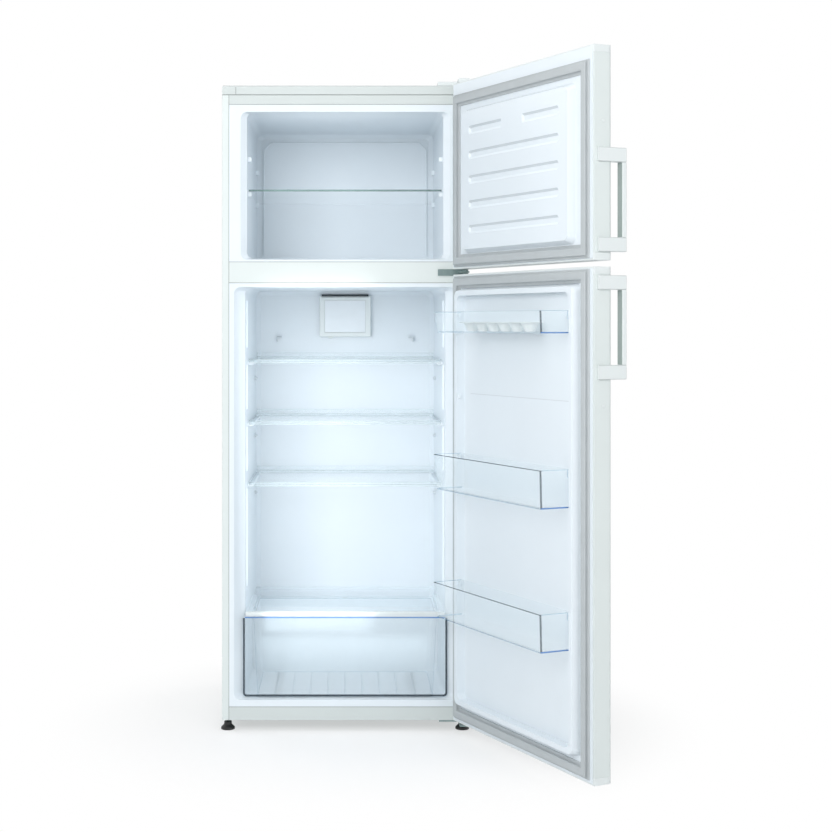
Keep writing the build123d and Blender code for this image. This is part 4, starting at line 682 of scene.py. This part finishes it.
class DressDoors(bpy.types.Operator):
    """Rounds both doors' panels, end caps and moulded liners."""

    bl_idname = "refrigerator.doors"
    bl_label = "Doors"

    def execute(self, context):
        for door in ("freezer_door", "fridge_door"):
            dress(f"{door}_panel", sizes().sheet_round)
            dress(f"{door}_caps", sizes().moulding_round)
            paint(f"{door}_foam")
        dress("fridge_door_liner", sizes().liner_round)
        self.liner_seam()
        mesh = rounded(coat(self.sloped_grooves(), "liner_plastic"), sizes().liner_round)
        self.shade_grooves(mesh)
        add_piece("freezer_door_liner_dressed", mesh, "freezer_door",
                  ("freezer_door_liner",))
        return {"FINISHED"}

    def liner_seam(self):
        """The faint seam across the fridge door's liner."""
        height, width, half_depth, inset = 0.827, 0.0012, 0.0003, 0.03
        mesh = welded("fridge_door_liner")
        mesh.transform(closed_frame("fridge_door"))
        field = max((f for f in mesh.polygons if f.normal.y > FACING), key=lambda f: f.area)
        across = [mesh.vertices[k].co.x for k in field.vertices]
        low = Vector((min(across) + inset, field.center.y - half_depth, height))
        high = Vector((max(across) - inset, field.center.y + half_depth, height + width))
        add_door_bar("fridge_door_liner_seam", low, high, "fridge_door", "liner_shade")

    def shade_grooves(self, mesh):
        """Paints shade on the groove walls that look down and light on those that look up, as light from above
        would fall on them.
        """
        wall_top, wall_foot, flat, level = 0.0002, 0.0039, 0.97, 0.25
        shut = closed_frame("freezer_door")
        face_y = max(p.y for p in turned_points(mesh, shut))

        def is_wall(normal, centre):
            return wall_top < face_y - centre.y < wall_foot and BARELY < normal.y < flat

        refinish(mesh, "liner_shade", lambda n, c: is_wall(n, c) and n.z < -level, shut)
        refinish(mesh, "liner_light", lambda n, c: is_wall(n, c) and n.z > level, shut)

    def sloped_grooves(self):
        """The freezer door's liner with the walls of its grooves set at a slope, as they leave the mould."""
        shallowest, deepest = 0.002, 0.006
        mesh, shut = welded("freezer_door_liner"), closed_frame("freezer_door")
        mesh.transform(shut)
        face_y = max(v.co.y for v in mesh.vertices)
        floors = [f for f in mesh.polygons
                  if f.normal.y > FACING and shallowest < face_y - f.center.y < deepest]
        for floor in floors:
            corners = [mesh.vertices[k] for k in floor.vertices]
            low, high = span([v.co.copy() for v in corners])
            for v in corners:
                for i in (0, 2):
                    middle, half = (low[i] + high[i]) / 2, (high[i] - low[i]) / 2
                    v.co[i] -= (v.co[i] - middle) / half * sizes().groove_slope
        mesh.transform(shut.inverted())
        return mesh


class DressGaskets(bpy.types.Operator):
    """Makes the folded magnetic gaskets round both doors."""

    bl_idname = "refrigerator.gaskets"
    bl_label = "Gaskets"

    def execute(self, context):
        for node in ("freezer_door_gasket", "fridge_door_gasket"):
            mesh = coat(gasket(node, sizes().gasket_width), "gasket_rubber")
            add_piece(f"{node}_bellows", mesh, BODY_OF[node], (node,))
        return {"FINISHED"}


class DressHandles(bpy.types.Operator):
    """Rounds the handles' bars and end blocks."""

    bl_idname = "refrigerator.handles"
    bl_label = "Handles"

    def execute(self, context):
        steps = 3
        for door in ("freezer", "fridge"):
            # Painted shade on the end blocks' rounded edges and on the bars' inner faces
            dress(f"{door}_handle_brackets", sizes().handle_round, steps, "bracket_edge")
            bar = dress(f"{door}_handle_bar", sizes().handle_round, steps)
            refinish(bar.data, "handle_shade", lambda n, c: n.y > MOSTLY, closed_frame(f"{door}_door"))
        return {"FINISHED"}


class DressShelves(bpy.types.Operator):
    """Grinds the edges of the glass shelves and rounds their trims."""

    bl_idname = "refrigerator.shelves"
    bl_label = "Shelves"

    def execute(self, context):
        rear_trim = 0.03
        pane = dress("freezer_shelf_glass", sizes().glass_round)
        refinish(pane.data, "glass_front", lambda n, c: n.y < -HALFWAY)
        for shelf in ("shelf_upper", "shelf_middle", "shelf_lower"):
            dress(f"{shelf}_glass", sizes().glass_round, edge="glass_edge")
            trims = dress(f"{shelf}_trims", sizes().trim_round, edge="trim_edge")
            self.ease(trims.data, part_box(f"{shelf}_glass"))
        dress("crisper_cover_glass", sizes().glass_round)
        trims = dress("crisper_cover_trims", sizes().trim_round)
        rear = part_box("crisper_cover_trims")[1].y - rear_trim
        refinish(trims.data, "clear_plastic", lambda n, c: c.y > rear)
        self.ease(trims.data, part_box("crisper_cover_glass"))
        return {"FINISHED"}

    def ease(self, mesh, glass):
        """Lifts the trims' ends off the ledges by a hair, so that they share no plane as the shelf slides."""
        end_across, near, hair = 0.2305, 0.0008, 0.00012
        middle, rest = (glass[0].x + glass[1].x) / 2, glass[0].z
        for v in mesh.vertices:
            if abs(v.co.x - middle) > end_across and abs(v.co.z - rest) < near:
                v.co.z += hair


class DressContainers(bpy.types.Operator):
    """Rounds the drawer, the door bins and the egg tray, and adds the lines of light on their edges."""

    bl_idname = "refrigerator.containers"
    bl_label = "Drawer, bins and egg tray"

    def execute(self, context):
        for node, deep in (("door_bin_upper", False), ("door_bin_middle", True), ("door_bin_lower", True)):
            self.door_bin(node, deep)
            self.bin_lines(node, deep)
        self.drawer()
        self.drawer_edges()
        dress("egg_tray", sizes().moulding_round)
        return {"FINISHED"}

    def door_bin(self, node, deep):
        """A clear bin with painted shade in the corners at its free end and, where deep is set, along its front
        rim.
        """
        end_reach, back_reach, rim_reach = 0.02, 0.014, 0.012
        mesh, shut = dress(node, sizes().moulding_round, edge="clear_edge").data, closed_frame("fridge_door")
        low, high = span(turned_points(mesh, shut))
        end, back, rim = low.x + end_reach, low.y + back_reach, high.y - rim_reach
        refinish(mesh, SLOT_OF[node], lambda n, c: c.y < back and abs(n.z) > BARELY
                 or c.x > end and abs(n.z) < BARELY, shut)
        refinish(mesh, "clear_corner", lambda n, c: c.x < end and n.x < -LEANING
                 and abs(n.y) > LEANING and abs(n.z) < LEANING, shut)
        refinish(mesh, "blue_line", lambda n, c: max(n.x, n.z) < -LEANING and abs(n.y) < LEANING, shut)
        if deep:
            refinish(mesh, "clear_corner", lambda n, c: c.y > rim and n.z > LEANING, shut)

    def bin_lines(self, node, deep):
        """The lines of light along a bin's lower edges and, where deep is set, painted shade along its front rim.
        """
        end_reach, front_reach = 0.004, 0.002
        end_width, end_height, thickness = 0.0022, 0.0028, 0.0016
        corners = turned_points(frame["nodes"][node].data, closed_frame("fridge_door"))
        bottom = min(c.z for c in corners)
        foot = [c for c in corners if c.z < bottom + LEVEL]
        end = min(c.x for c in foot)
        near = [c.y for c in foot if c.x < end + end_reach]
        add_door_bar(f"{node}_end_line", Vector((end, min(near), bottom)),
                     Vector((end + end_width, max(near), bottom + end_height)), BODY_OF[node], "blue_line")
        if not deep:
            return
        for label, ring, up, finish_name in (("foot", foot, thickness, "clear_edge"),
                                             ("rim", self.front_rim(corners), -thickness, "clear_corner")):
            front = max(c.y for c in ring)
            along = [c.x for c in ring if c.y > front - front_reach]
            lower, upper = sorted((ring[0].z, ring[0].z + up))
            add_door_bar(f"{node}_{label}_line", Vector((min(along), front - thickness, lower)),
                         Vector((max(along), front, upper)), BODY_OF[node], finish_name)

    def front_rim(self, corners):
        """The highest points of a bin's front."""
        front = max(c.y for c in corners) - 0.01
        top = max(c.z for c in corners if c.y > front)
        return [c for c in corners if c.y > front and c.z > top - LEVEL]

    def drawer(self):
        """The clear drawer with its tinted front and frosted bottom."""
        front_reach = 0.05
        mesh = dress("crisper_drawer", sizes().moulding_round, edge="clear_edge").data
        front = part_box("crisper_drawer")[0].y + front_reach
        refinish(mesh, "clear_front", lambda n, c: n.y < -FACING and c.y < front)
        refinish(mesh, "clear_frost", lambda n, c: n.z > MOSTLY)

    def drawer_edges(self):
        """Painted shade along the clear edges round the drawer's front, and the line of light along its top."""
        width, depth, corner, top_width, top_gap, steps = 0.0045, 0.003, 0.009, 0.0022, 0.002, 6
        low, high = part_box("crisper_drawer")
        front, middle = low.y - PROUD, (low.x + high.x) / 2
        path = [(low.x, high.z - top_gap)]
        for x, turn in ((low.x + corner, math.pi), (high.x - corner, 1.5 * math.pi)):
            for k in range(steps + 1):
                angle = turn + k * math.pi / 2 / steps
                path.append((x + corner * math.cos(angle), low.z + corner + corner * math.sin(angle)))
        path.append((high.x, high.z - top_gap))
        add_strip("crisper_drawer_side_edges", path, (middle, high.z), width, front, depth, "crisper_drawer",
                  "clear_corner")
        path = [(low.x + width, high.z), (high.x - width, high.z)]
        add_strip("crisper_drawer_top_edge", path, (middle, low.z), top_width, front, depth, "crisper_drawer",
                  "blue_line")


class DressLamp(bpy.types.Operator):
    """Rounds the lamp's housing and lens and the dial, with painted shade on the lens's rounded edges, and adds a
    dark strip of painted shade in the slot over the housing.
    """

    bl_idname = "refrigerator.lamp"
    bl_label = "Lamp and thermostat"

    def execute(self, context):
        inset, height, reach, depth = 0.006, 0.005, 0.006, 0.005
        for node, edge in (("lamp_housing", None), ("lamp_lens", "bracket_edge"), ("thermostat_dial", None)):
            dress(node, sizes().moulding_round, edge=edge)
        low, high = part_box("lamp_housing")
        above = ((low.x + high.x) / 2, high.z + 1.0)
        # A dark strip of painted shade where the housing's vent slot is
        add_strip("lamp_vent", [(low.x + inset, high.z), (high.x - inset, high.z)], above, height,
                  high.y - reach, depth, "cabinet", "clear_corner")
        return {"FINISHED"}


class DressHinges(bpy.types.Operator):
    """Rounds the hinges, the cabinet's screws and the top hinge's cover."""

    bl_idname = "refrigerator.hinges"
    bl_label = "Hinges"

    def execute(self, context):
        for node in ("top_hinge", "middle_hinge", "bottom_hinge", "cabinet_screws"):
            dress(node, sizes().sheet_round)
        dress("top_hinge_cover", sizes().moulding_round)
        return {"FINISHED"}


class DressCooling(bpy.types.Operator):
    """Rounds the cooling circuit at the back and adds the condenser's fine wires and the rear screws."""

    bl_idname = "refrigerator.cooling"
    bl_label = "Cooling circuit"

    def execute(self, context):
        for node in ("compressor", "relay_cover", "compressor_grommets", "condenser_brackets",
                     "evaporation_tray"):
            dress(node, sizes().sheet_round)
        for node in ("condenser", "refrigerant_pipes", "drain_tube"):
            dress(node, sizes().tube_round, 1)
        self.wires()
        self.rear_screws()
        return {"FINISHED"}

    def wires(self):
        """Close cross wires on the rear face of the condenser's tubes."""
        margin, end_gaps = 0.02, 0.002
        low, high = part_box("condenser")
        radius, wires = sizes().wire_radius, sizes().wire_count
        step = (high.x - low.x - 2 * margin) / (wires - 1)
        start = (low.x + margin, high.y - radius, (low.z + high.z) / 2)
        add_grown(line_of_rods, "condenser_wires", "cabinet", "black_steel", Count=wires, Start=start,
                  Step=(step, 0.0, 0.0), Radius=radius, Length=high.z - low.z - end_gaps)

    def rear_screws(self):
        """Pan head screws along the edges of the rear panel."""
        margin, end_margin, rows = 0.007, 0.03, 5
        low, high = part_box("rear_panel")
        step = (high.z - low.z - 2 * end_margin) / (rows - 1)
        points = [(x, high.y, low.z + end_margin + k * step)
                  for k in range(rows) for x in (low.x + margin, high.x - margin)]
        add_grown(screw_heads, "rear_panel_screws", "cabinet", "zinc_steel", points,
                  Radius=sizes().screw_radius, Facing=(0.0, 1.0, 0.0))


class DressFeet(bpy.types.Operator):
    """Rounds the rollers, and makes the turned front feet with grip ribs round them."""

    bl_idname = "refrigerator.feet"
    bl_label = "Feet and rollers"

    def execute(self, context):
        rib_inset, rib_height, rib_radius, rib_length = 0.0012, 0.0021, 0.0011, 0.0034
        for side in ("left", "right"):
            dress(f"rear_roller_{side}", sizes().sheet_round)
            foot = f"front_foot_{side}"
            low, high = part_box(foot)
            mesh = coat(self.turned_foot(low, high), "black_plastic")
            add_piece(f"{foot}_turned", mesh, foot, (foot,))
            add_grown(ring_of_rods, f"{foot}_ribs", foot, "black_plastic", Count=sizes().foot_ribs,
                      Centre=((low.x + high.x) / 2, (low.y + high.y) / 2, rib_height),
                      Ring=(high.x - low.x) / 2 - rib_inset, Radius=rib_radius, Length=rib_length)
        return {"FINISHED"}

    def turned_foot(self, low, high):
        """A levelling foot turned round its axis, with its stem up to the cabinet."""
        stem, stem_end, end_drop, close = 0.15, 0.12, 0.0006, 0.00001
        radius, axis = (high.x - low.x) / 2, Vector(((low.x + high.x) / 2, (low.y + high.y) / 2, 0.0))
        section = (*FOOT_SECTION, (stem, high.z - end_drop), (stem_end, high.z), (0.0, high.z))
        work = bmesh.new()
        line = [work.verts.new(axis + Vector((across * radius, 0.0, z))) for across, z in section]
        edges = [work.edges.new(pair) for pair in zip(line, line[1:])]
        bmesh.ops.spin(work, geom=line + edges, cent=axis, axis=(0.0, 0.0, 1.0), angle=math.tau,
                       steps=FOOT_SIDES)
        bmesh.ops.remove_doubles(work, verts=work.verts, dist=close)
        bmesh.ops.recalc_face_normals(work, faces=work.faces)
        return creased(plain_mesh(work, "turned_foot"), FOOT_CREASE)


def ray_white(tree):
    """1 for the rays that see the background: straight from the camera, mirrored or through glass."""
    path = add_node(tree, "ShaderNodeLightPath").outputs
    total = path["Is Camera Ray"]
    for name in ("Is Glossy Ray", "Is Transmission Ray"):
        total = add_node(tree, "ShaderNodeMath", {0: total, 1: path[name]}, operation="MAXIMUM")
    return total


class SetStage(bpy.types.Operator):
    """Sets the pale floor, the soft studio light and the camera."""

    bl_idname = "refrigerator.stage"
    bl_label = "Stage"

    def execute(self, context):
        stage = context.scene.refrigerator_stage
        self.world(context.scene, stage)
        self.floor(stage)
        self.lamps(stage)
        context.scene.camera = self.camera(stage)
        context.scene.cycles.transparent_max_bounces = CLEAR_LAYERS
        context.scene.view_settings.view_transform = "Standard"
        return {"FINISHED"}

    def camera(self, stage):
        """The level camera that sees the refrigerator as the photograph does."""
        camera = bpy.data.cameras.new("photo_camera")
        camera.sensor_width = SENSOR_WIDTH
        camera.lens = stage.camera_lens
        camera.shift_x, camera.shift_y = stage.camera_shift
        holder = placed("photo_camera", camera)
        holder.location = stage.camera_place
        holder.rotation_euler = (math.radians(90.0), 0.0, 0.0)
        return holder

    def world(self, scene, stage):
        """Soft light all round, and plain white where the background itself is seen."""
        world = bpy.data.worlds.new("studio")
        scene.world = world
        world.use_nodes = True
        tree = world.node_tree
        tree.nodes.clear()
        soft = add_node(tree, "ShaderNodeBackground", {"Color": SKY, "Strength": stage.world_level})
        white = add_node(tree, "ShaderNodeBackground", {"Color": WHITE})
        mix = add_node(tree, "ShaderNodeMixShader", {"Fac": ray_white(tree), 1: soft, 2: white})
        add_node(tree, "ShaderNodeOutputWorld", {"Surface": mix})

    def floor(self, stage):
        """A wide pale disc that keeps the shadow near the feet and fades to white away from them."""
        work = bmesh.new()
        bmesh.ops.create_circle(work, cap_ends=True, segments=FLOOR_SIDES, radius=FLOOR_RADIUS)
        floor = placed("floor", plain_mesh(work, "floor"))
        material, tree, shader, place = blank_material("floor")
        drift = noise(tree, place, FLOOR_DRIFT)
        feed(shader, {"Base Color": ramp(tree, drift, shaded(stage.floor, FLOOR_SHADE), stage.floor),
                      "Roughness": FLOOR_ROUGHNESS, "Specular IOR Level": 0.0})
        away = add_node(tree, "ShaderNodeVectorMath", {0: place, 1: SHADOW_CENTRE}, operation="DISTANCE")
        fade = add_node(tree, "ShaderNodeMapRange", {
            "Value": away.outputs["Value"], "From Min": SHADOW_FADE[0], "From Max": SHADOW_FADE[1],
            "To Min": SHADOW_GLOW}, interpolation_type="SMOOTHSTEP")
        seen = add_node(tree, "ShaderNodeMath", {0: fade, 1: ray_white(tree)}, operation="MULTIPLY")
        glow = add_node(tree, "ShaderNodeEmission", {"Color": WHITE})
        mix = add_node(tree, "ShaderNodeMixShader", {"Fac": seen, 1: shader, 2: glow})
        feed(tree.nodes["Material Output"], {"Surface": mix})
        floor.data.materials.append(material)
        return floor

    def lamps(self, stage):
        """Soft lamps that point at their targets and aren't seen themselves."""
        for name, (place, target, size, level, share) in LAMPS.items():
            light = bpy.data.lights.new(name, "AREA")
            light.shape = "RECTANGLE"
            light.size, light.size_y = size
            light.energy = getattr(stage, level) * share
            lamp = placed(name, light)
            lamp.location = place
            lamp.rotation_euler = (Vector(target) - Vector(place)).to_track_quat("-Z", "Y").to_euler()
            lamp.visible_camera = lamp.visible_glossy = lamp.visible_transmission = False


OPERATORS = (DressCabinet, DressLiners, DressDoors, DressGaskets, DressHandles, DressShelves, DressContainers,
             DressLamp, DressHinges, DressCooling, DressFeet, SetStage)


class RefrigeratorPanel(bpy.types.Panel):
    """Lists the steps with their sizes, colours and stage settings."""

    bl_idname = "VIEW3D_PT_refrigerator"
    bl_label = "Refrigerator"
    bl_space_type = "VIEW_3D"
    bl_region_type = "UI"
    bl_category = "Refrigerator"

    def draw(self, context):
        for step in OPERATORS:
            self.layout.operator(step.bl_idname)
        for group in GROUPS:
            settings = getattr(context.scene, group)
            for name in settings.bl_rna.properties.keys():
                if name not in ("rna_type", "name"):
                    self.layout.prop(settings, name)


GROUPS = {"refrigerator_sizes": RefrigeratorSizes, "refrigerator_colours": RefrigeratorColours,
          "refrigerator_stage": RefrigeratorStage}


def register():
    for item in (*GROUPS.values(), *OPERATORS, RefrigeratorPanel):
        bpy.utils.register_class(item)
    for name, group in GROUPS.items():
        setattr(bpy.types.Scene, name, PointerProperty(type=group))


def unregister():
    for name in GROUPS:
        delattr(bpy.types.Scene, name)
    for item in (RefrigeratorPanel, *reversed(OPERATORS), *GROUPS.values()):
        bpy.utils.unregister_class(item)


def main():
    register()
    make_finishes()
    for step in OPERATORS:
        area, name = step.bl_idname.split(".")
        getattr(getattr(bpy.ops, area), name)()


if __name__ == "__main__":
    main()
